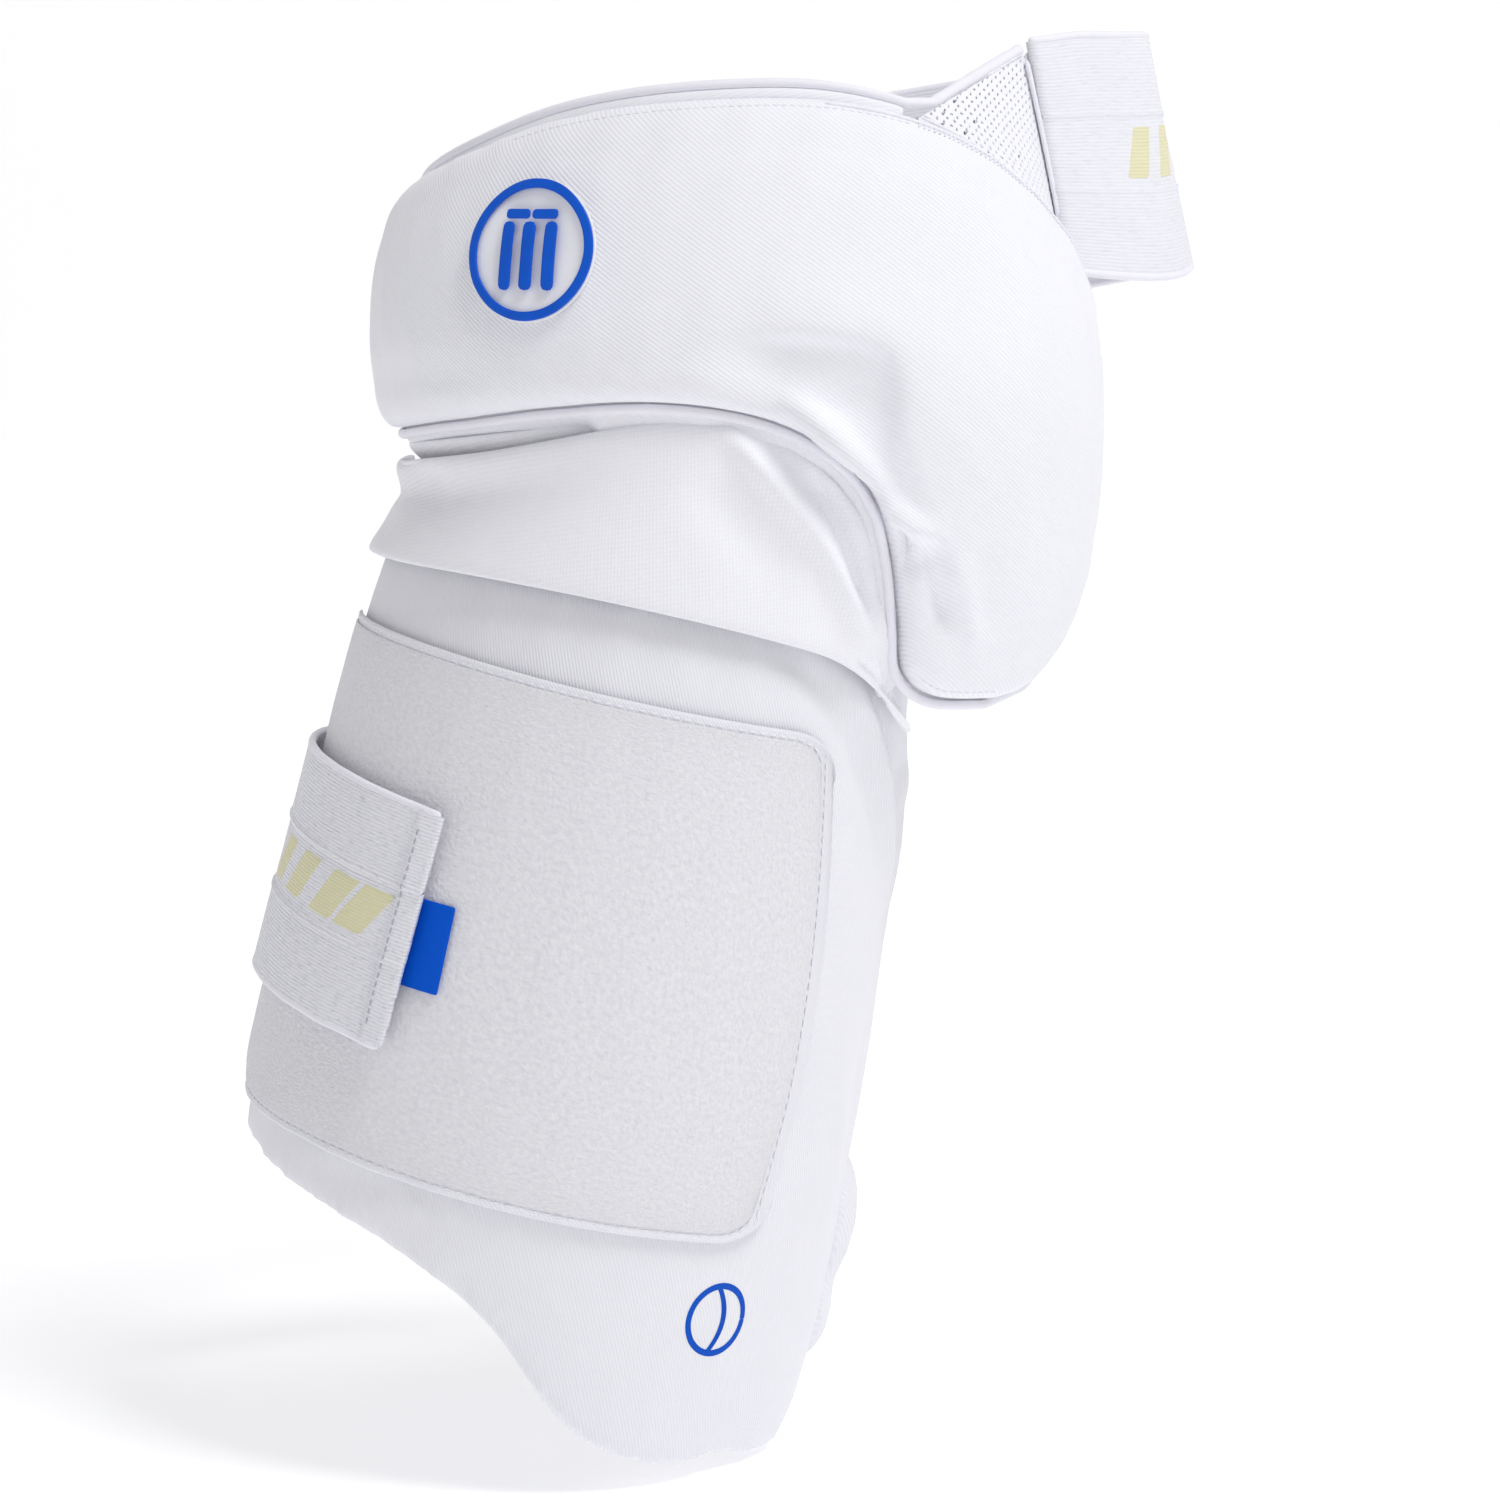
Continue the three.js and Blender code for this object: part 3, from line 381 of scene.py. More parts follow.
# Stretch knit: small dots in rows, so the folds look soft and slightly matt
stretchKnit = clothMaterial(
    "stretch_polyester_knit", light="#F7F7FB", dark="#CCCBD8", roughness=0.8, sheen=0.2,
    yarns=[{"turn": -12, "pitch": 1.2 * mm, "bow": 0.2}, {"turn": 74, "pitch": 1.5 * mm, "bow": 0.2}],
    contrast=0.17, depth=0.12 * mm, mottleSize=30 * mm, fuzzSize=0.5 * mm)
# Brushed nylon loop: a dull short pile, cloudy where it lies in different directions
loopPile = clothMaterial(
    "brushed_nylon_loop", light="#E9E8EC", dark="#AEADB9", roughness=0.95, sheen=0.3, specular=0.15,
    streaks={"length": 2.6 * mm, "width": 1 * mm, "amount": 0.1, "depth": 0.15 * mm},
    mottle=0.24, mottleSize=1.7 * mm, fuzz=0.45 * mm, fuzzSize=1.1 * mm)
# Woven elastic: ribs along the strap with short shadows between the rubber threads
elasticWeave = clothMaterial(
    "woven_elastic_webbing", light="#EBEBF1", dark="#B2B1C0", roughness=0.75, sheen=0.1,
    yarns=[{"turn": 90, "pitch": 1.15 * mm, "bow": 0.15}], contrast=0.1, depth=0.07 * mm,
    streaks={"length": 5 * mm, "width": 0.5 * mm, "amount": 0.2, "depth": 0.01 * mm}, mottleSize=20 * mm)
# The same elastic where it is pulled tight round the thigh: its ribs open, and the short shadows between its
# threads are painted darker
tightElastic = clothMaterial(
    "stretched_woven_elastic", light="#F1F1F6", dark="#A3A2B2", roughness=0.75, sheen=0.1,
    yarns=[{"turn": 90, "pitch": 1.15 * mm, "bow": 0.15}], contrast=0.22, depth=0.14 * mm,
    streaks={"length": 6 * mm, "width": 0.45 * mm, "amount": 0.36, "depth": 0.05 * mm}, mottleSize=20 * mm)
# Polyester air mesh: smooth and bright between its punched eyelets
airMesh = clothMaterial(
    "warp_knitted_air_mesh", light="#F3F3F8", dark="#CBCAD8", roughness=0.7, sheen=0.1,
    yarns=[{"turn": 80, "pitch": 0.7 * mm}], contrast=0.15, depth=0.05 * mm,
    mottleSize=10 * mm, fuzz=0.04 * mm)
# A grey sheet behind the mesh: painted shade that only the eyelets show, so that they read dark
paintedShadeSheet = clothMaterial(
    "painted_shade_sheet", light="#8E8E9A", dark="#7C7C88", roughness=0.9,
    mottle=0.1, mottleSize=6 * mm, fuzzSize=0.6 * mm)
# Turned polyester tape over cord: smooth enough to carry a thin bright line
trimTape = clothMaterial(
    "turned_polyester_tape", light="#F1F0F7", dark="#CECDDB", roughness=0.6, sheen=0.15,
    yarns=[{"turn": 30, "pitch": 0.6 * mm}], contrast=0.12, depth=0.04 * mm,
    mottle=0.08, mottleSize=8 * mm, fuzzSize=0.6 * mm)
# Spun polyester thread, a shade greyer than the cloth so that it reads
sewingThread = clothMaterial(
    "spun_polyester_thread", light="#EDEDF4", dark="#C9C9D6", roughness=0.6, coordinates="Object",
    mottle=0.3, mottleSize=2 * mm, fuzz=0.03 * mm, fuzzSize=0.2 * mm)
# The same thread in a darker grey, for the stitches across the strap's end
greyThread = clothMaterial(
    "darker_polyester_thread", light="#B9B8C4", dark="#9C9BA8", roughness=0.65, coordinates="Object",
    mottle=0.3, mottleSize=2 * mm, fuzz=0.03 * mm, fuzzSize=0.2 * mm)
# Nylon hook tape: stiff, with rows of tiny hooks that look like a coarse grain
hookTape = clothMaterial(
    "woven_nylon_hook", light="#E9E9EE", dark="#A9A9B6", roughness=0.6,
    yarns=[{"turn": 0, "pitch": 1.6 * mm}, {"turn": 90, "pitch": 1.3 * mm}], contrast=0.45, depth=0.35 * mm,
    mottleSize=10 * mm, fuzzSize=0.3 * mm)
# Injection moulded soft rubber: matt with a faint satin light on its edges
softRubber = clothMaterial(
    "moulded_thermoplastic_rubber", light="#F4F4F8", dark="#DEDEE6", roughness=0.45, coordinates="Object",
    specular=0.4, mottle=0.15, mottleSize=12 * mm, fuzz=0.02 * mm, fuzzSize=0.8 * mm)
# The same rubber, dyed through: its blue stays even over the rounded edges
blueRubber = clothMaterial(
    "moulded_blue_rubber", light="#0058D0", dark="#0046A8", roughness=0.45, coordinates="Object",
    specular=0.25, mottle=0.3, mottleSize=10 * mm, fuzz=0.02 * mm, fuzzSize=0.8 * mm)
# Screen printed ink: it sinks into the ribs, so their grain shows through
printedInk = clothMaterial(
    "screen_printed_ink", light="#0054C8", dark="#0040A0", roughness=0.6, specular=0.15,
    yarns=[{"turn": -12, "pitch": 1.15 * mm}], contrast=0.3, depth=0.08 * mm,
    mottle=0.15, mottleSize=4 * mm, fuzz=0.03 * mm)
# Damask woven satin label: close threads that take the shine off its blue
labelSatin = clothMaterial(
    "damask_woven_satin", light="#005AD6", dark="#0042AC", roughness=0.6, specular=0.1,
    yarns=[{"turn": 90, "pitch": 0.45 * mm}], contrast=0.35, depth=0.04 * mm,
    mottle=0.1, mottleSize=6 * mm, fuzz=0.03 * mm, fuzzSize=0.3 * mm)
# Dyed yarn woven into the elastic: the bars keep its ribs
yellowYarn = clothMaterial(
    "pale_yellow_jacquard_yarn", light="#E6E2BE", dark="#CFCBA2", roughness=0.75, sheen=0.1,
    yarns=[{"turn": 90, "pitch": 1.15 * mm}], contrast=0.3, depth=0.12 * mm,
    mottle=0.1, mottleSize=5 * mm, fuzz=0.04 * mm)
# Matt painted card, for the studio's floor. It glows a little, more towards the back.
studioCard = clothMaterial(
    "matt_white_card", light="#FBFBFC", dark="#F4F4F6", roughness=0.9, coordinates="Object", specular=0.1,
    mottle=0.1, mottleSize=900 * mm, fuzz=0.01 * mm, fuzzSize=20 * mm)
cardTree = studioCard.node_tree
cardShader = cardTree.nodes["Principled BSDF"].inputs
cardShader["Emission Color"].default_value = linear("#FFFFFF")
cardPlace = addNode(cardTree, "TexCoord").outputs["Object"]
cardDepth = addNode(cardTree, "SeparateXYZ", {0: cardPlace}).outputs["Y"]
cardGlow = addNode(cardTree, "MapRange", {
    "Value": cardDepth, "From Min": 0.0, "From Max": 0.9, "To Min": 0.27, "To Max": 0.31,
})
cardTree.links.new(cardGlow.outputs[0], cardShader["Emission Strength"])
print("materials")


# Pieces
def meshOf(name, shape):
    mesh = bpy.data.meshes.new(name)
    shape.to_mesh(mesh)
    shape.free()
    return mesh


def newObject(name, mesh, material):
    mesh.shade_smooth()
    mesh.materials.clear()
    mesh.materials.append(material)
    made = bpy.data.objects.new(name, mesh)
    scene.collection.objects.link(made)
    return made


# A piece of the guard. It takes the place of the nodes that it is given.
def addObject(name, mesh, material, slot, *nodes):
    made = newObject(name, mesh, material)
    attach(made, "root")
    if nodes:
        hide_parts(*nodes)
    return made


def addPiece(name, shape, material, slot, *nodes):
    return addObject(name, meshOf(name, shape), material, slot, *nodes)


# A grid whose points are placed by a function of their two shares. Its UV map has the cloth's real size.
def mappedGrid(columns, rows, place, size, closed=False):
    shape = bmesh.new()
    layer = shape.loops.layers.uv.new("UVMap")
    bmesh.ops.create_grid(shape, x_segments=columns, y_segments=rows, size=0.5)
    for face in shape.faces:
        for loop in face.loops:
            loop[layer].uv = (loop.vert.co.x + 0.5) * size[0], (loop.vert.co.y + 0.5) * size[1]
    for point in shape.verts:
        point.co = place(min(max(point.co.x + 0.5, 0), 1), min(max(point.co.y + 0.5, 0), 1))
    if closed:
        bmesh.ops.remove_doubles(shape, verts=shape.verts, dist=1e-6)
        bmesh.ops.recalc_face_normals(shape, faces=shape.faces)
    return shape


def thicken(piece, thickness, levels=1):
    solid = piece.modifiers.new("thickness", "SOLIDIFY")
    solid.thickness = thickness
    solid.offset = -1
    solid.use_even_offset = True
    if levels:
        soften(piece, levels)


# A sheet laid by a function of its two shares. Counts are its columns and rows.
def addSheet(name, place, counts, size, thickness, material, slot, *nodes, levels=1):
    made = addPiece(name, mappedGrid(*counts, place, size), material, slot, *nodes)
    thicken(made, thickness, levels)
    return made


def soften(piece, levels=1):
    smooth = piece.modifiers.new("softening", "SUBSURF")
    smooth.levels = levels
    smooth.render_levels = levels


# The piece's modifiers taken into its mesh
def settle(piece):
    graph = bpy.context.evaluated_depsgraph_get()
    mesh = bpy.data.meshes.new_from_object(piece.evaluated_get(graph))
    piece.modifiers.clear()
    piece.data = mesh
    mesh.shade_smooth()


# A round cord along points. It closes to a point at both ends.
def addCord(name, points, radius, material, slot, *nodes, spacing=2 * mm, sides=8, swell=None):
    line = evenly(points, spacing)
    length = spacing * (len(line) - 1)
    last = len(line) - 1

    def place(share, turn):
        at = round(share * last)
        middle = line[at]
        forward = (line[min(at + 1, last)] - line[max(at - 1, 0)]).normalized()
        outward = Vector((middle.x - hip["shift"] / 2, middle.y, 0))
        aside = forward.cross(outward).normalized()
        over = aside.cross(forward)
        size = 0 if at in (0, last) else radius * (swell(share) if swell else 1)
        angle = 2 * math.pi * turn
        return middle + aside * (size * math.cos(angle)) + over * (size * math.sin(angle))

    shape = mappedGrid(last, sides, place, (length, 2 * math.pi * radius), closed=True)
    soften(addPiece(name, shape, material, slot, *nodes))


# Stitches along points with normals. A slant is in degrees.
def addStitches(name, spots, stitch, slot="trim", material=None):
    shape = bmesh.new()
    for i in range(1, len(spots) - 1):
        point, normal = spots[i]
        forward = (spots[i + 1][0] - spots[i - 1][0]).normalized()
        side = normal.cross(forward).normalized()
        up = forward.cross(side)
        basis = Matrix((side, up, forward)).transposed()
        turn = Matrix.Rotation(math.radians(stitch.get("slant", 0)), 3, up)
        size = Matrix.Diagonal((stitch["radius"], stitch["radius"] * 0.8, stitch["length"] / 2))
        place = Matrix.Translation(point + up * stitch.get("lift", 0)) @ (turn @ basis @ size).to_4x4()
        bmesh.ops.create_uvsphere(shape, u_segments=6, v_segments=4, radius=1, matrix=place)
    addPiece(name, shape, material or sewingThread, slot)


def surfaceOf(piece):
    bpy.context.view_layer.update()
    return BVHTree.FromObject(piece, bpy.context.evaluated_depsgraph_get())


# The place on a surface outside a spot of the form, and its normal
def onSurface(surface, form, angle, up, lift=0, missOut=0):
    far = form(angle, up, 70 * mm)
    inward = form(angle, up, -10 * mm) - far
    hit, normal, _, _ = surface.ray_cast(far, inward.normalized(), inward.length)
    if hit is None:
        outward = -inward.normalized()
        return form(angle, up, missOut) + outward * lift, outward
    return hit + normal * lift, normal


def laidLine(surface, pad, line, spacing, lift=0):
    spots = []
    for point in evenly(line, spacing):
        angle, up = unflat(pad, point)
        spots.append(onSurface(surface, pad["form"], angle, up, lift, pad["seam"]))
    return spots


# Padding
# Gives the piece a UV map of the pad's form unrolled flat
def unroll(piece, pad):
    layer = piece.data.uv_layers.new(name="UVMap")
    spots = [flat(pad, *pad["spotOf"](vertex.co)) for vertex in piece.data.vertices]
    for loop in piece.data.loops:
        layer.data[loop.index].uv = spots[loop.vertex_index]


# A line through spots, flat and smoothly curved
def smoothLine(pad, spots):
    read = smoothTable([{"along": i, "angle": angle, "up": up} for i, (angle, up) in enumerate(spots)])
    rows = [read(step / 4) for step in range(4 * len(spots) - 3)]
    return [flat(pad, row["angle"], row["up"]) for row in rows]


# Raises ridges and sinks folds in a piece's outer side. Each is a line of spots with a width and a height in
# mm that fades at both ends. One with a reach is a step, high on the line's right and low on its left.
def sculpt(piece, pad, folds):
    ready = []
    for fold in folds:
        line = smoothLine(pad, fold["line"])
        middle = (line[0] + line[-1]) / 2
        reach = 3 * mm * fold.get("reach", fold["width"])
        ready.append((fold, line, middle, reach + max((point - middle).length for point in line)))
    mesh = piece.data
    moves = []
    for vertex in mesh.vertices:
        angle, up = pad["spotOf"](vertex.co)
        outward = pad["form"](angle, up, 1 * mm) - pad["form"](angle, up, 0)
        facing = smoothStep(vertex.normal.dot(outward.normalized()), 0, 0.5)
        here = flat(pad, angle, up)
        rise = 0
        for fold, line, middle, farthest in ready:
            if facing and (here - middle).length < farthest:
                beside = besideLine(here, line)
                ends = smoothStep(beside["along"], 0, 0.3) * (1 - smoothStep(beside["along"], 0.7, 1))
                away = beside["aside"] / (fold["width"] * mm)
                if "reach" in fold:
                    shape = math.tanh(away) * math.exp(-(beside["aside"] / (fold["reach"] * mm)) ** 2)
                else:
                    shape = math.exp(-away * away)
                rise += fold["height"] * mm * ends * shape
        moves.append(vertex.normal * (rise * facing))
    for vertex, move in zip(mesh.vertices, moves):
        vertex.co += move
    mesh.update()


def copyNode(name, node, material, slot):
    made = addObject(name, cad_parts[node].data.copy(), material, slot, node)
    shape = bmesh.new()
    shape.from_mesh(made.data)
    bmesh.ops.remove_doubles(shape, verts=shape.verts, dist=1e-6)
    bmesh.ops.join_triangles(shape, faces=shape.faces, angle_face_threshold=0.6, angle_shape_threshold=3)
    shape.to_mesh(made.data)
    shape.free()
    for layer in [*made.data.uv_layers]:
        made.data.uv_layers.remove(layer)
    made.data.shade_smooth()
    return made


# The way in space of a flat move across a pad
def outwards(pad, point, move):
    here = flat(pad, *pad["spotOf"](point))
    return pad["form"](*unflat(pad, here + move), pad["seam"]) - pad["form"](*unflat(pad, here), pad["seam"])


# A cover over foam: remeshed, drawn in a little, and blown up inside its sewn edge
def readyCover(piece, pad, padding):
    skin = surfaceOf(piece)
    outline = wholeOutline(pad) if pad else None
    remesh = piece.modifiers.new("remesh", "REMESH")
    remesh.mode = "VOXEL"
    remesh.voxel_size = padding["voxel"]
    settle(piece)
    shape = bmesh.new()
    shape.from_mesh(piece.data)
    axes = {"use_axis_x": True, "use_axis_y": True, "use_axis_z": True}
    for _ in range(padding["smoothing"]):
        bmesh.ops.smooth_vert(shape, verts=shape.verts, factor=0.5, **axes)
    hold = []
    for point in shape.verts:
        point.co = skin.find_nearest(point.co)[0]
        held = 0
        if pad:
            beside = besideLine(flat(pad, *pad["spotOf"](point.co)), outline)
            away = abs(beside["aside"])
            held = 1 - smoothStep(away, padding["held"], 2.5 * padding["held"])
            if 0 < away < padding["pushReach"]:
                pushed = min(beside["aside"] + padding["pushed"] * (1 - away / padding["pushReach"]), 0)
                point.co += outwards(pad, point.co, beside["way"] * (1 - pushed / beside["aside"]))
        hold.append(held)
    shape.to_mesh(piece.data)
    shape.free()
    sewn = piece.vertex_groups.new(name="sewn")
    start = [vertex.co.copy() for vertex in piece.data.vertices]
    normals = [vertex.normal.copy() for vertex in piece.data.vertices]
    for vertex, normal, held in zip(piece.data.vertices, normals, hold):
        sewn.add([vertex.index], max(held, padding["foam"]), "REPLACE")
        vertex.co -= normal * padding["drawnIn"] * (1 - held)
    cloth = piece.modifiers.new("cover", "CLOTH").settings
    for setting, value in coverCloth.items():
        setattr(cloth, setting, value)
    cloth.effector_weights.gravity = 0
    waiting.append((piece, start, padding["cap"]))


def blowUp():
    for step in range(1, 21):
        scene.frame_set(step)
    for piece, start, cap in waiting:
        settle(piece)
        farthest = 0
        for vertex, old in zip(piece.data.vertices, start):
            move = vertex.co - old
            farthest = max(farthest, move.length)
            if move.length > cap:
                vertex.co = old + move.normalized() * cap
        print("cover", piece.name, "moved", round(farthest / mm, 1), "mm at most")
    scene.frame_set(1)


waiting = []
coverCloth = {
    "quality": 5, "mass": 0.2, "tension_stiffness": 18, "compression_stiffness": 18, "shear_stiffness": 6,
    "bending_stiffness": 2, "use_pressure": True, "uniform_pressure_force": 4, "vertex_group_mass": "sewn",
    "pin_stiffness": 1,
}
thighPadding = {
    "voxel": 4 * mm, "smoothing": 2, "held": 6 * mm, "pushed": 1.4 * mm, "pushReach": 9 * mm,
    "foam": 0.12, "drawnIn": 1.5 * mm, "cap": 5 * mm,
}
hipPadding = {**thighPadding, "voxel": 5 * mm, "pushed": 2.6 * mm, "pushReach": 10 * mm}
rollPadding = {"voxel": 3 * mm, "smoothing": 1, "foam": 0.1, "drawnIn": 0.8 * mm, "cap": 3 * mm}
thighCover = copyNode("thigh_pad_cover", "main_pad", ribJersey, "cover_cloth")
hipCover = copyNode("hip_pad_cover", "hip_pad", twillCloth, "cover_cloth")
rollCover = copyNode("side_roll_cover", "side_roll", ribJersey, "cover_cloth")
readyCover(thighCover, thighPad, thighPadding)
readyCover(hipCover, hipPad, hipPadding)
readyCover(rollCover, None, rollPadding)
blowUp()
for cover, levels in ((thighCover, 1), (hipCover, 2), (rollCover, 1)):
    soften(cover, levels)
    settle(cover)
print("covers")


# Soft pulls on a cover, each fading round a spot of the thigh, with a width and a move in mm: the tongue
# hangs lower at its left and is rounder below, and the roll's lower lobe swells out
def pull(piece, pulls):
    for look in pulls:
        middle = onThigh(*look["spot"])
        for vertex in piece.data.vertices:
            away = (vertex.co - middle).length / (look["width"] * mm)
            vertex.co += Vector(look["move"]) * mm * math.exp(-away * away)


pull(thighCover, table(
    "spot width move",
    ((11, 0.09), 34, (-3, 0, -8)),
    ((54, 0.0), 19, (-3, 0, 8)),
    ((43, 0.0), 24, (-2, 0, 4)),
))
pull(rollCover, table(
    "spot width move",
    ((94, 0.13), 20, (10, 0, -4)),
    ((94, 0.26), 18, (4, 0, 0)),
))
# Folds of the thigh pad: slack at its upper right, where the lobe of the hip pad hangs over it
sculpt(thighCover, thighPad, table(
    "width height line",
    (6, -2.4, [(24, 0.93), (44, 0.86), (62, 0.76), (72, 0.66)]),
    (5, 2.6, [(46, 0.9), (62, 0.83), (76, 0.72), (82, 0.58)]),
    (3.5, -2.8, [(52, 0.9), (66, 0.83), (80, 0.72), (86, 0.6)]),
    (5, 2, [(66, 0.88), (80, 0.8), (90, 0.68), (92, 0.5)]),
    (9, -2, [(74, 0.56), (80, 0.38), (82, 0.24)]),
    (7, 1.2, [(62, 0.5), (70, 0.36), (70, 0.22)]),
))
# The hip pad buckles where it bends over the web: a hollow, its rim, and a ridge with a crease beside it
sculpt(hipCover, hipPad, table(
    "width height line reach",
    (3, -2.3, [(-10, 0.565), (0, 0.588), (10, 0.59), (19.5, 0.57), (22.6, 0.52), (23.4, 0.43), (27, 0.34),
               (31, 0.22)], 17),
    (10, -2, [(-4, 0.55), (8, 0.54), (15, 0.5), (18, 0.44)]),
    (3.6, 7, [(4, 0.51), (12, 0.455), (17, 0.4), (23, 0.315), (33, 0.24)]),
    (2.8, -6.5, [(12, 0.43), (18.5, 0.36), (22.5, 0.29), (27, 0.2)]),
    (3, -2.8, [(27, 0.3), (30, 0.2), (32, 0.1)]),
    (5, 2.4, [(31, 0.27), (35, 0.17), (38, 0.05)]),
    (9, -1, [(-84, 0.5), (-60, 0.52), (-40, 0.53)]),
))
unroll(thighCover, thighPad)
unroll(hipCover, hipPad)
unroll(rollCover, thighPad)
thighSurface = surfaceOf(thighCover)
hipSurface = surfaceOf(hipCover)
print("folds in the covers")

# The web and its cover fold, softened from the CAD's
coverFold = copyNode("cover_fold_cloth", "cover_fold", stretchKnit, "cover_cloth")
soften(coverFold, 3)
settle(coverFold)
sculpt(coverFold, thighPad, table(
    "width height line",
    (4.5, 4.2, [(4, 1.14), (14, 1.105), (30, 1.035), (42, 0.965), (50, 0.92)]),
    (3.2, -4, [(24, 1.11), (33, 1.06), (41, 1.0), (50, 0.935)]),
    (2, -2.2, [(44, 0.915), (52, 0.895), (62, 0.86)]),
    (9, -2, [(2, 1.08), (16, 1.03), (30, 0.965)]),
    (3, 1.9, [(47, 0.99), (54, 0.925), (64, 0.865)]),
    (1.9, -1.9, [(49, 0.935), (57, 0.89), (66, 0.856)]),
    (7, -1.8, [(-92, 1.03), (-70, 1.01), (-48, 0.995)]),
    (6, 1.2, [(-98, 0.955), (-80, 0.965), (-56, 0.96)]),
))
unroll(coverFold, thighPad)
hingeWeb = copyNode("hinge_web_cloth", "hinge_web", stretchKnit, "cover_cloth")
soften(hingeWeb, 2)
settle(hingeWeb)
unroll(hingeWeb, thighPad)
print("web and fold")

# Trim of the hip pad
piping = {"radius": 1.7 * mm, "gap": 0.5 * mm, "deep": 1 * mm, "thickness": 0.8 * mm}
pipingOut = piping["radius"] + piping["gap"]
sewnDepth = hipPad["seam"] - piping["deep"]


def offHip(line, out):
    return [onHip(*unflat(hipPad, point), out) for point in line]


# The hip pad's low edge and the side of its lobe, moved aside
def lobeEdge(aside):
    return besideEdge(hipPad, 0, 0.025, 1, aside, 90) + besideEdge(hipPad, 1, 0.995, 0.8, aside, 30)


pipingLine = lobeEdge(pipingOut)
flangeLine = lobeEdge(-0.6 * mm)
addCord("hip_piping_cord", offHip(pipingLine, hipPad["seam"]), piping["radius"], trimTape, "trim",
        "hip_piping", sides=10, swell=lambda share: 1 + 0.06 * noise.noise(Vector((share * 60, 0, 0))))


# The piping's flange, sewn into the pad's edge
def onFlange(along, across):
    at = round(along * (len(pipingLine) - 1))
    return onHip(*unflat(hipPad, pipingLine[at].lerp(flangeLine[at], across)), sewnDepth)


# The top of the web, from the piping to its place under the fold
def onWebTop(along, across):
    at = round(along * (len(webTop) - 1))
    return webTop[at].lerp(webTuck[at], across)


foldSurface = surfaceOf(coverFold)
webTop = offHip(besideEdge(hipPad, 0, 0.03, 0.9, pipingOut, 90), sewnDepth)
webTuck = [onSurface(foldSurface, onHip, *unflat(hipPad, point), -3 * mm, hipPad["seam"] - 3 * mm)[0]
           for point in besideEdge(hipPad, 0, 0.03, 0.9, 9 * mm, 90)]
addSheet("hinge_web_top", onWebTop, (len(webTop) - 1, 4), (0.4, 0.009), piping["thickness"],
         stretchKnit, "cover_cloth")
addSheet("hip_piping_flange", onFlange, (len(pipingLine) - 1, 2), (0.5, 0.004), piping["thickness"],
         trimTape, "trim")
edgeStitch = {"length": 2.1 * mm, "radius": 0.32 * mm, "pitch": 2.9 * mm}
scallop = {"length": 2.6 * mm, "radius": 0.5 * mm, "pitch": 2 * mm, "slant": 62, "lift": 0.15 * mm}


# A row of stitches along a stretch of the hip pad's edge
def stitchHip(name, stitch, edge, start, end, aside, count=60):
    line = besideEdge(hipPad, edge, start, end, aside, count)
    addStitches(name, laidLine(hipSurface, hipPad, line, stitch["pitch"]), stitch)


stitchHip("lobe_stitches", edgeStitch, 0, 0.9, 1, -2.6 * mm, 24)
stitchHip("hip_top_stitches", edgeStitch, 1, 0.3, 0.56, 2.6 * mm)
weltLine = laidLine(hipSurface, hipPad, besideEdge(hipPad, 1, 0.5, 0.84, 1.3 * mm), 2 * mm, 0.1 * mm)
addCord("hip_edge_welt", [point for point, _ in weltLine], 0.8 * mm, trimTape, "trim")
stitchHip("hip_scallop_stitches", scallop, 1, 0.56, 0.8, 2.2 * mm)
print("hip trim")

# Waist strap
strap = {
    "width": 75 * mm, "thickness": 2.2 * mm, "slack": 60 * mm, "stand": 27.5 * mm, "endSlant": -8,
    "rise": 2.2 * mm, "sag": 4.2 * mm, "wave": 1.6 * mm, "rim": 1.5 * mm,
    "waistLength": 0.401, "thighLength": 0.380,
}
ridge = {"places": (0.35, 0.67), "width": 0.75 * mm, "height": 0.55 * mm, "sunk": 0.3 * mm}
waistRoute = smoothTable(table(
    "along angle up out lean",
    (0.0, 76.5, 0.872, 0.06, 11),
    (0.04, 86, 0.875, 0.3, 15),
    (0.09, 96, 0.877, 0.62, 16),
    (0.15, 108, 0.878, 0.9, 13),
    (0.22, 121, 0.86, 0.98, 8),
    (0.32, 140, 0.82, 0.9, 4),
    (0.44, 163, 0.772, 0.64, 2),
    (0.56, 186, 0.735, 0.46, 1),
    (0.67, 206, 0.69, 0.34, 1),
    (0.77, 222, 0.655, 0.19, 1),
    (0.84, 234, 0.635, 0.02, 2),
    (0.88, 241, 0.63, -0.05, 2),
    (1.0, 266, 0.63, -0.058, 2),
))
# Shares of the strap's length: the slant of its seam, and how far the mesh runs under it
seamSlant = 0.004
meshUnder = 0.014


def onWaistStrap(along, across, out=0):
    route = waistRoute(along)
    side = (across - 0.5) * strap["width"]
    lean = math.radians(route["lean"])
    point = onHip(route["angle"], route["up"], route["out"] * strap["slack"] + out - side * math.sin(lean))
    point.z += side * math.cos(lean)
    return point


# Two ridges run along an elastic, with its middle panel a little sunk between them
def ribbed(across):
    rise = sum(ridge["height"] * math.exp(-((across - place) * strap["width"] / ridge["width"]) ** 2)
               for place in ridge["places"])
    low, high = ridge["places"]
    inside = smoothStep(across, low, low + 0.02) * (1 - smoothStep(across, high - 0.02, high))
    return rise - ridge["sunk"] * inside


# The lower edge curls and waves a little, as slack elastic does
def waistFace(along, across, out=0):
    wave = noise.noise(Vector((along * 14, 3, 0))) * strap["wave"] * (1 - across) ** 2
    point = onWaistStrap(lerp(seamSlant * across, 1, along), across, ribbed(across) + wave + out)
    sag = math.sin(math.pi * min(along / 0.15, 1)) * (1 - across) ** 2
    point.z += strap["rise"] * smoothStep(along, 0, 0.06) * across ** 2 - strap["sag"] * sag
    return point


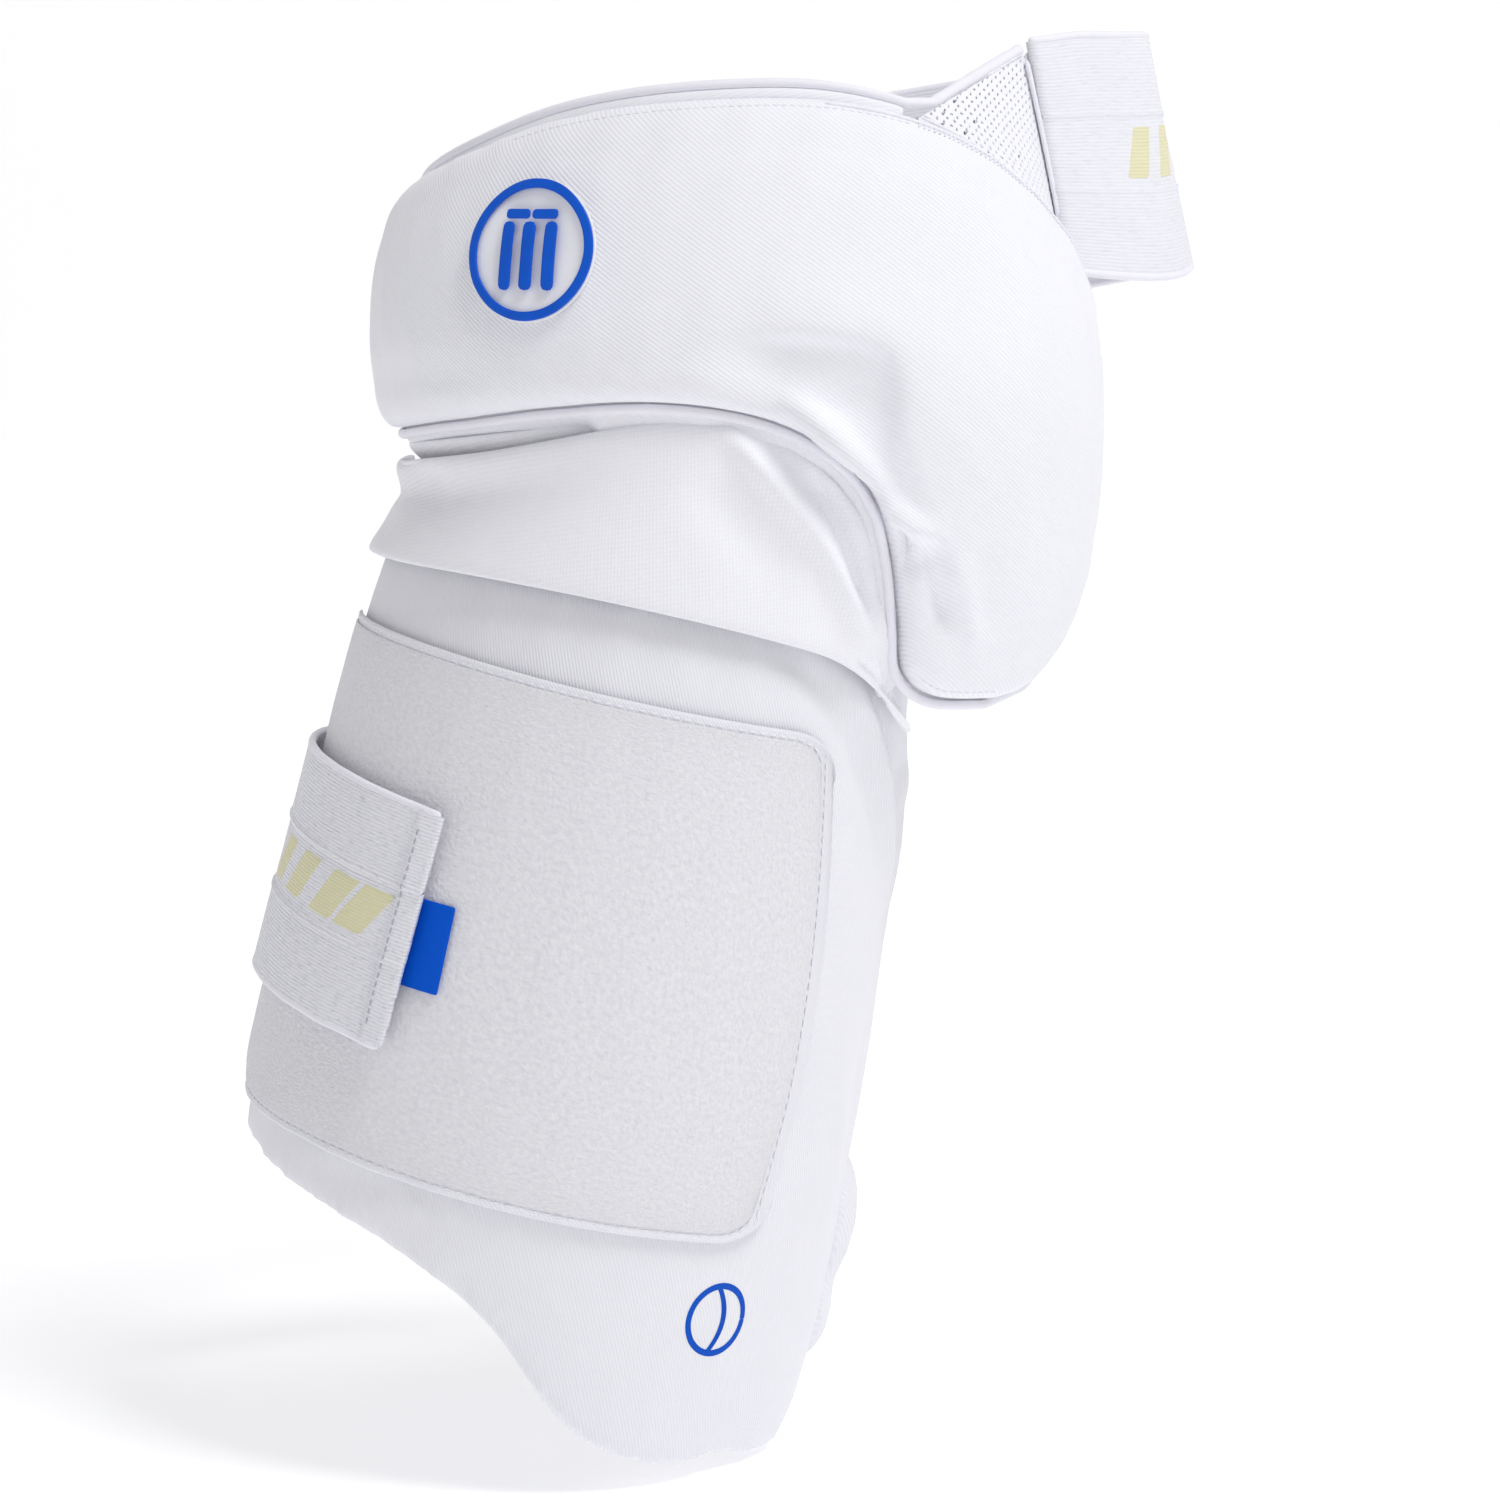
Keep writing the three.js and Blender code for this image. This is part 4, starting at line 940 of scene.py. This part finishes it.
waistStrap = addSheet("waist_strap_elastic", waistFace, (120, 110), (strap["waistLength"], strap["width"]),
                      strap["thickness"], elasticWeave, "elastic", "waist_strap", levels=0)


# The bound edges of a strap: its face is moved inwards by half its thickness there
def strapRims(name, face):
    for edge, across in (("upper", 1.004), ("lower", -0.004)):
        line = [face(step / 200, across, -strap["thickness"] / 2) for step in range(201)]
        addCord(f"{name}_{edge}_rim", line, strap["rim"], trimTape, "elastic", spacing=2.2 * mm)


# Slanting bars woven into a strap
bars = {
    "width": 9 * mm, "height": 17 * mm, "slant": 7 * mm, "low": 0.4, "high": 0.62,
    "lift": 0.12 * mm, "thickness": 0.3 * mm,
}


def addBars(name, face, length, starts):
    for i, start in enumerate(starts):
        def place(a, b):
            along = start + (a * bars["width"] + b * bars["slant"]) / length
            return face(min(along, 1), lerp(bars["low"], bars["high"], b), bars["lift"])

        addSheet(f"{name}_{i + 1}", place, (6, 8), (bars["width"], bars["height"]), bars["thickness"],
                 yellowYarn, "elastic")


addBars("waist_bar", waistFace, strap["waistLength"], (0.062, 0.101, 0.14, 0.179))
print("waist strap")


# Mesh wing, punched with a slanting lattice of eyelets
wing = {
    "join": 0.84, "bottom": 0.12, "top": 0.955, "low": 0.7, "angle": 30, "gap": 0.3 * mm, "depth": 2.7 * mm,
    "pitch": 2.9 * mm, "bar": 0.58 * mm, "hole": 0.864 * mm, "turn": 10, "cells": 46, "seam": 22 * mm,
    "thickness": 0.9 * mm, "shadeSheetGap": 1.25 * mm,
}
topLine = besideEdge(hipPad, 1, 1, 0, 0, 120)


def topPart(keep, aside):
    spots = [point for point in topLine if keep(*unflat(hipPad, point))]
    return offHip(movedAside(spots, aside), hipPad["seam"])


def onWingSide(angle, up):
    return angle >= wing["angle"] and up >= wing["low"]


def onRimSide(angle, up):
    return angle < wing["angle"] - 1


wingEdge = evenly(topPart(onWingSide, wing["gap"]), 0.5 * mm)
rimInner = topPart(onRimSide, -0.5 * mm)
rimOuter = topPart(onRimSide, 3.4 * mm)


def underStrap(along, across):
    near = 1e-3
    forward = onWaistStrap(along + near, across) - onWaistStrap(along, across)
    upward = onWaistStrap(along, across + near) - onWaistStrap(along, across - near)
    return onWaistStrap(along, across) - forward.cross(upward).normalized() * wing["depth"]


def onWing(along, across):
    up = lerp(wing["bottom"], wing["top"], across)
    seam = underStrap(seamSlant * up, up)
    if along <= wing["join"]:
        return wingEdge[round(across * (len(wingEdge) - 1))].lerp(seam, along / wing["join"])
    share = (along - wing["join"]) / (1 - wing["join"])
    return underStrap(seamSlant * up + meshUnder * share, up)


def punchedWing():
    shape = bmesh.new()
    layer = shape.loops.layers.uv.new("UVMap")
    cells = wing["cells"]
    bmesh.ops.create_grid(shape, x_segments=cells, y_segments=cells, size=cells * wing["pitch"] / 2)
    holes = [*shape.faces]
    bmesh.ops.inset_individual(shape, faces=holes, thickness=wing["bar"])
    sheared = Matrix(((1, 0.5, 0, 0), (0, 0.866, 0, 0), (0, 0, 1, 0), (0, 0, 0, 1)))
    lattice = Matrix.Rotation(math.radians(wing["turn"]), 4, "Z") @ sheared
    bmesh.ops.transform(shape, matrix=lattice, verts=shape.verts)
    unsheared = lattice.inverted()
    for face in holes:
        middle = face.calc_center_median()
        for point in face.verts:
            away = unsheared @ point.co - unsheared @ middle
            point.co = middle + away.normalized() * wing["hole"]
    bmesh.ops.delete(shape, geom=holes, context="FACES_ONLY")
    height = strap["width"] * (wing["top"] - wing["bottom"])
    reaches = [(onWing(0, i / 40) - onWing(wing["join"], i / 40)).length for i in range(41)]
    under = meshUnder * strap["waistLength"]

    def shares(point):
        across = point.y / height + 0.5
        reach = reaches[min(max(round(across * 40), 0), 40)]
        left = wing["seam"] - point.x
        along = wing["join"] * (1 - left / reach) if left > 0 else lerp(wing["join"], 1, -left / under)
        return along, across

    outside = [face for face in shape.faces if not all(
        -0.03 < share < 1.03 for share in shares(face.calc_center_median()))]
    bmesh.ops.delete(shape, geom=outside, context="FACES")
    for face in shape.faces:
        for loop in face.loops:
            loop[layer].uv = loop.vert.co.xy
    for point in shape.verts:
        along, across = shares(point.co)
        point.co = onWing(min(max(along, 0), 1), min(max(across, 0), 1))
    bmesh.ops.remove_doubles(shape, verts=shape.verts, dist=0.02 * mm)
    bmesh.ops.dissolve_degenerate(shape, dist=0.01 * mm, edges=shape.edges)
    return shape


meshWing = addPiece("mesh_wing_cloth", punchedWing(), airMesh, "mesh_cloth", "mesh_wing")
soften(meshWing)
meshWing.modifiers.new("thickness", "SOLIDIFY").thickness = wing["thickness"]


# The way from the mesh to the grey sheet of painted shade behind it
def towardsShadeSheet(across):
    forward = onWing(0.5, across) - onWing(0.4, across)
    upward = onWing(0.45, min(across + 0.05, 1)) - onWing(0.45, max(across - 0.05, 0))
    return forward.cross(upward).normalized() * -wing["shadeSheetGap"]


# A grey sheet behind the mesh, painted shade which makes the eyelets dark
def onShadeSheet(along, across):
    return onWing(lerp(0.03, 0.97, along), lerp(0.015, 0.985, across)) + towardsShadeSheet(across)


addSheet("mesh_wing_shade_sheet", onShadeSheet, (16, 24), (0.05, 0.066), 0.5 * mm, paintedShadeSheet, "mesh_cloth")
addCord("mesh_wing_edge", [onWing(0.03, step / 60) for step in range(61)], 0.8 * mm, trimTape, "trim",
        spacing=1.5 * mm)
seamLine = [onWing(0.8, step / 50) - 1.1 * towardsShadeSheet(0.5) for step in range(1, 50)]
addCord("wing_seam_tape", seamLine, 0.9 * mm, trimTape, "trim", spacing=1.5 * mm)


def onRim(along, across):
    outer = rimOuter[round(along * (len(rimOuter) - 1))]
    return outer.lerp(rimInner[round(along * (len(rimInner) - 1))], across)


addSheet("mesh_rim_cloth", onRim, (len(rimOuter) - 1, 2), (0.25, 0.0022), 1.6 * mm,
         airMesh, "mesh_cloth", "mesh_rim")
print("mesh")

# Rolled binding, loose and lumpy along the wing's top
binding = {"radius": 1.7 * mm, "gap": 0.6 * mm, "sunk": 0.8 * mm}
bindingLine = []
for point in reversed(topPart(onRimSide, 2.2 * mm + binding["radius"] + binding["gap"])):
    bindingLine.append(point - Vector((point.x - hip["shift"], point.y, 0)).normalized() * binding["sunk"])
for step in range(2, 11):
    along = wing["join"] * 0.97 * step / 10
    top = onWing(along, 1)
    bindingLine.append(top + (top - onWing(along, 0.9)).normalized() * (binding["radius"] + binding["gap"]))


def bindingSwell(share):
    loose = smoothStep(share, 0.78, 0.88)
    return 1 + (0.05 + 0.22 * loose) * noise.noise(Vector((share * 70, 5, 0))) + 0.1 * loose


addCord("wing_binding_roll", bindingLine, binding["radius"], trimTape, "trim", "wing_binding",
        spacing=1.4 * mm, sides=10, swell=bindingSwell)
print("binding")

# Loop panel on the thigh pad: a smooth backing with a brushed field sewn round its edge
panel = {
    "gap": 0.8 * mm, "thickness": 1.2 * mm, "corner": (21 * mm, 13 * mm), "span": math.radians(143.5),
    "height": 160 * mm, "welt": 0.9 * mm, "weltWidth": 0.9 * mm, "weltIn": 1.3 * mm, "bulge": 7 * mm,
}
pile = {
    "top": 3.4 * mm, "bottom": 3.4 * mm, "end": 6.8 * mm, "start": 3 * mm, "corner": (16 * mm, 9 * mm),
    "height": 0.7 * mm, "tuft": 0.18 * mm,
}
panelRow = smoothTable(table(
    "along angle low high",
    (0.0, -97, 0.297, 0.842),
    (0.35, -47, 0.289, 0.84),
    (0.7, 3, 0.276, 0.832),
    (1.0, 46.5, 0.272, 0.826),
))
panelLength = panel["span"] * thighPad["girth"]
panelTop = panel["gap"] + panel["thickness"]
noInset = {"top": 0, "bottom": 0, "end": 0, "start": 0}


# Corner is the run and the rise of the panel's round corners
def onPanel(along, across, inset=noInset, corner=(1, 0)):
    place = lerp(inset["start"] / panelLength, 1 - inset["end"] / panelLength, along)
    row = panelRow(place)
    width = panelLength - inset["start"] - inset["end"]
    fromEnd = min(along, 1 - along) * width
    run, rise = corner
    cut = rise * (1 - math.sqrt(1 - (max(run - fromEnd, 0) / run) ** 2)) if rise else 0
    low = row["low"] + (inset["bottom"] + cut) / thigh["length"]
    high = row["high"] - (inset["top"] + cut) / thigh["length"]
    bulge = panel["bulge"] * along ** 3 * math.sin(math.pi * across)
    return row["angle"] + math.degrees(bulge / thighPad["girth"]), lerp(low, high, across)


# Draws shares towards both ends, where a panel's edges need more points
def eased(share, ease=0.6):
    return lerp(share, (1 - math.cos(math.pi * share)) / 2, ease)


def backingFace(a, b):
    angle, up = onPanel(eased(a), eased(b), corner=panel["corner"])
    edge = min(eased(b), 1 - eased(b)) * panel["height"]
    welt = panel["welt"] * math.exp(-((edge - panel["weltIn"]) / panel["weltWidth"]) ** 2)
    return onSurface(thighSurface, onThigh, angle, up, panelTop + welt)[0]


def pileFace(a, b):
    angle, up = onPanel(eased(a), eased(b), pile, pile["corner"])
    tuft = pile["tuft"] * noise.noise(Vector((a * 90, b * 60, 1)))
    return onSurface(thighSurface, onThigh, angle, up, panelTop + pile["height"] + tuft)[0]


loopBacking = addSheet("loop_panel_backing", backingFace, (100, 64), (0.263, 0.166),
                       panel["thickness"] - 0.2 * mm, ribJersey, "loop_cloth")
loopField = addSheet("loop_panel_pile", pileFace, (100, 60), (0.253, 0.159), pile["height"] - 0.1 * mm,
                     loopPile, "loop_cloth", "loop_patch")
panelStitch = {"length": 2.8 * mm, "radius": 0.42 * mm, "pitch": 4 * mm, "lift": 0.1 * mm}
stitchInset = {side: pile[side] - 0.9 * mm for side in noInset}


# One side of the panel, a little outside its brushed field
def panelSide(side, steps=80):
    spots = []
    for step in range(steps + 1):
        share = step / steps
        if side == "end":
            angle, _ = onPanel(1, share, stitchInset)
            up = lerp(onPanel(0.96, 0, stitchInset)[1], onPanel(0.96, 1, stitchInset)[1], share)
        else:
            angle, up = onPanel(share, 1 if side == "top" else 0, stitchInset, pile["corner"])
        spots.append(flat(thighPad, angle, up))
    return spots


for side in ("top", "bottom", "end"):
    row = laidLine(thighSurface, thighPad, panelSide(side), panelStitch["pitch"], panelTop + 0.15 * mm)
    addStitches(f"loop_panel_stitches_{side}", row, panelStitch)
print("loop panel")

# Thigh strap
thighRoute = smoothTable(table(
    "along angle up stand",
    (0.0, 88, 0.55, -0.02),
    (0.05, 100, 0.551, -0.02),
    (0.1, 112, 0.552, 0.08),
    (0.3, 160, 0.558, 0.1),
    (0.5, 205, 0.563, 0.1),
    (0.62, 232, 0.565, 0.22),
    (0.68, 244, 0.565, 0.55),
    (0.73, 254, 0.565, 0.83),
    (0.78, 264, 0.565, 0.87),
    (0.84, 278, 0.562, 0.88),
    (0.9, 297, 0.557, 0.98),
    (1.0, 330, 0.545, 1.0),
))
hem = {"length": 5.2 * mm, "height": 1.2 * mm}
strapLift = 8 * mm


def thighFace(along, across, out=0):
    route = thighRoute(along)
    side = (across - 0.5) * (strap["width"] / thigh["length"])
    angle = route["angle"] - side * strap["endSlant"]
    share = hem["length"] / strap["thighLength"]
    rise = ribbed(across) + hem["height"] * smoothStep(along, 1 - 1.15 * share, 1 - share) + out
    free = onThigh(angle, route["up"] + side, route["stand"] * strap["stand"] + rise)
    laid = smoothStep(angle, 264, 284)
    if not laid:
        return free
    held, _ = onSurface(thighSurface, onThigh, angle - 360, route["up"] + side, strapLift + rise)
    return free.lerp(held, laid)


# The columns are drawn towards the strap's end, where its hem is
def thighColumn(along, across):
    return thighFace(lerp(along, 1 - (1 - along) ** 2, 0.8), across)


thighStrap = addSheet("thigh_strap_elastic", thighColumn, (130, 110), (strap["thighLength"], strap["width"]),
                      strap["thickness"], tightElastic, "elastic", "thigh_strap", levels=0)
strapRims("waist_strap", waistFace)
strapRims("thigh_strap", thighFace)
addBars("thigh_bar", thighFace, strap["thighLength"], (0.838, 0.877, 0.916, 0.943))
hemStitch = {"length": 2.2 * mm, "radius": 0.42 * mm, "pitch": 3 * mm, "lift": 0.1 * mm}


def acrossRow(face, along, spacing):
    line = evenly([face(along, step / 60) for step in range(3, 58)], spacing)
    forward = (face(along, 0.5) - face(along - 0.01, 0.5)).normalized()
    spots = []
    for i, point in enumerate(line):
        upward = (line[min(i + 1, len(line) - 1)] - line[max(i - 1, 0)]).normalized()
        spots.append((point, forward.cross(upward).normalized()))
    return spots


hemRow = acrossRow(thighFace, 1 - 0.82 * hem["length"] / strap["thighLength"], hemStitch["pitch"])
addStitches("thigh_strap_hem_stitches", hemRow, hemStitch, material=greyThread)
print("thigh strap")

# Hook tabs under the straps' ends
hook = {
    "thickness": 1.4 * mm, "length": 42 * mm, "width": 62 * mm, "angle": -47, "up": 0.549, "gap": 0.5 * mm,
}


def thighHook(a, b):
    angle = hook["angle"] + math.degrees((a - 0.5) * hook["length"] / thighPad["girth"])
    up = hook["up"] + (b - 0.5) * hook["width"] / thigh["length"]
    return onSurface(thighSurface, onThigh, angle, up, strapLift - strap["thickness"] - hook["gap"])[0]


def waistHook(a, b):
    across = 0.5 + (b - 0.5) * hook["width"] / strap["width"]
    return onWaistStrap(lerp(0.895, 0.985, a), across, hook["gap"] + hook["thickness"])


for name, place, node in (
    ("thigh_strap_hook", thighHook, "thigh_hook_tab"), ("waist_strap_hook", waistHook, "waist_hook_tab"),
):
    addSheet(name, place, (14, 20), (hook["length"], hook["width"]), hook["thickness"],
             hookTape, "hook_tape", node)

# Label, folded under the thigh strap's end
label = {
    "length": 19 * mm, "width": 28.5 * mm, "angle": -29, "up": 0.534, "thickness": 0.9 * mm, "gap": 0.5 * mm,
}


def labelFace(a, b):
    angle = label["angle"] + math.degrees((a - 0.5) * label["length"] / thighPad["girth"])
    up = label["up"] + (b - 0.5) * label["width"] / thigh["length"]
    lift = panelTop + pile["height"] + label["thickness"] + label["gap"] * (1 + a)
    return onSurface(thighSurface, onThigh, angle, up, lift)[0]


addSheet("strap_label_cloth", labelFace, (14, 20), (label["length"], label["width"]), label["thickness"],
         labelSatin, "blue_trim", "strap_label")
print("tabs and label")

# Badge
badge = {
    "angle": -32.9, "up": 0.721, "radius": 22 * mm, "ring": 2.9 * mm, "rim": 0.4 * mm, "thickness": 2 * mm,
    "relief": 1.2 * mm, "lift": 0.4 * mm, "gap": 0.05 * mm, "bevel": 0.4 * mm,
}
wicket = {
    "height": 25 * mm, "width": 19 * mm, "stump": 4.2 * mm, "bail": 3 * mm, "gap": 0.6 * mm,
    "overhang": 1.4 * mm,
}


# Gives a flat shape a height and rounds its upper rim
def raiseShape(shape, height, bevel):
    grown = bmesh.ops.extrude_face_region(shape, geom=shape.faces[:])
    tops = [item for item in grown["geom"] if isinstance(item, bmesh.types.BMVert)]
    bmesh.ops.translate(shape, verts=tops, vec=(0, 0, height))
    bmesh.ops.recalc_face_normals(shape, faces=shape.faces)
    rims = [edge for edge in shape.edges if edge.is_manifold and edge.calc_face_angle(0) > 0.9
            and min(point.co.z for point in edge.verts) > height / 2]
    bmesh.ops.bevel(shape, geom=rims, offset=bevel, segments=2, profile=0.5, affect="EDGES", material=-1)


# Lays a flat shape on a pad's face round a spot
def layShape(shape, surface, pad, spot, lift):
    for point in shape.verts:
        angle = spot["angle"] + math.degrees(point.co.x / pad["girth"])
        up = spot["up"] + point.co.y / pad["length"]
        point.co = onSurface(surface, pad["form"], angle, up, lift + point.co.z)[0]


def discShape(radius):
    shape = bmesh.new()
    bmesh.ops.create_circle(shape, cap_ends=True, segments=72, radius=radius)
    for _ in range(5):
        middle = min(shape.faces, key=lambda face: face.calc_center_median().length - len(face.verts))
        bmesh.ops.inset_region(shape, faces=[middle], thickness=radius / 6)
    return shape


def ringShape(radius, width):
    shape = bmesh.new()
    bmesh.ops.create_circle(shape, segments=96, radius=radius)
    grown = bmesh.ops.extrude_edge_only(shape, edges=shape.edges[:])
    inner = [item for item in grown["geom"] if isinstance(item, bmesh.types.BMVert)]
    bmesh.ops.scale(shape, verts=inner, vec=(1 - width / radius,) * 3)
    return shape


def addBar(shape, x, y, width, height, columns, rows):
    place = Matrix.Translation((x, y, 0)) @ Matrix.Diagonal((width, height, 1, 1))
    bmesh.ops.create_grid(shape, x_segments=columns, y_segments=rows, size=0.5, matrix=place)


# Three stumps, and two bails that lie across their tops
def wicketShape():
    shape = bmesh.new()
    reach = (wicket["width"] - wicket["stump"]) / 2
    top = wicket["height"] / 2
    stump = wicket["height"] - wicket["bail"] - wicket["gap"]
    for place in (-reach, 0, reach):
        addBar(shape, place, -top + stump / 2, wicket["stump"], stump, 1, 8)
    bail = reach + wicket["overhang"]
    for side in (-1, 1):
        addBar(shape, side * (bail + wicket["gap"]) / 2, top - wicket["bail"] / 2, bail, wicket["bail"], 6, 1)
    return shape


def addBadgePart(name, shape, height, lift, material, slot, node):
    raiseShape(shape, height, badge["bevel"])
    layShape(shape, hipSurface, hipPad, badge, lift)
    soften(addPiece(name, shape, material, slot, node))


overDisc = badge["lift"] + badge["thickness"] + badge["gap"]
addBadgePart("badge_disc_rubber", discShape(badge["radius"]), badge["thickness"], badge["lift"],
             softRubber, "moulded", "badge_disc")
ring = ringShape(badge["radius"] - badge["rim"], badge["ring"])
for name, shape, node in (
    ("badge_ring_rubber", ring, "badge_ring"), ("badge_wicket_rubber", wicketShape(), "badge_wicket"),
):
    addBadgePart(name, shape, badge["relief"], overDisc, blueRubber, "blue_trim", node)
print("badge")

# Printed ball on the tongue
ball = {"angle": 40, "up": 0.186, "radius": 12.5 * mm, "line": 2.2 * mm, "bow": 4.5 * mm, "lift": 0.12 * mm}


def ballRing(a, b):
    turn = 2 * math.pi * a
    radius = lerp(ball["radius"], ball["radius"] - ball["line"], b)
    return Vector((radius * math.cos(turn), radius * math.sin(turn), 0))


def ballSeam(a, b):
    reach = ball["radius"] - ball["line"] / 2
    y = lerp(-reach, reach, a) * 0.97
    x = ball["bow"] * (1 - (y / reach) ** 2) - 0.4 * ball["bow"]
    return Vector((x + (0.5 - b) * ball["line"], y, 0))


def addPrint(name, place, columns, *nodes):
    shape = mappedGrid(columns, 3, place, (0.07, 0.0022))
    layShape(shape, thighSurface, thighPad, ball, ball["lift"])
    thicken(addPiece(name, shape, printedInk, "blue_trim", *nodes), 0.08 * mm)


addPrint("tongue_print_ring", ballRing, 96, "tongue_print")
addPrint("tongue_print_seam", ballSeam, 30)
print("print")

# Studio
studio = {"floor": -175.6 * mm, "back": 1.6, "bend": 1.2, "front": -3.5, "half": 5, "wall": 3}
key = {"place": (0.9, -0.8, 1.9), "aim": (0.05, 0, 0.06), "size": 0.8, "power": 23.5}


# A floor that bends up into a wall
def onBackdrop(a, b):
    run = studio["back"] - studio["front"]
    turn = studio["bend"] * math.pi / 2
    at = b * (run + turn + studio["wall"])
    angle = min(max(at - run, 0) / studio["bend"], math.pi / 2)
    return Vector((
        lerp(-studio["half"], studio["half"], a),
        studio["front"] + min(at, run) + studio["bend"] * math.sin(angle),
        studio["floor"] + studio["bend"] * (1 - math.cos(angle)) + max(at - run - turn, 0),
    ))


def addKeyLight():
    data = bpy.data.lights.new("key", "AREA")
    data.shape = "SQUARE"
    data.size = key["size"]
    data.energy = key["power"]
    made = bpy.data.objects.new("key", data)
    scene.collection.objects.link(made)
    made.location = key["place"]
    made.rotation_euler = (Vector(key["aim"]) - Vector(key["place"])).to_track_quat("-Z", "Y").to_euler()


def addWorld():
    world = bpy.data.worlds.new("studio")
    world.use_nodes = True
    background = world.node_tree.nodes["Background"].inputs
    background["Color"].default_value = linear("#FBFBFC")
    background["Strength"].default_value = 0.5
    scene.world = world
    scene.view_settings.view_transform = "Standard"


newObject("backdrop", meshOf("backdrop", mappedGrid(12, 90, onBackdrop, (10, 12))), studioCard)
addKeyLight()
addWorld()
print("studio")

bpy.context.view_layer.update()
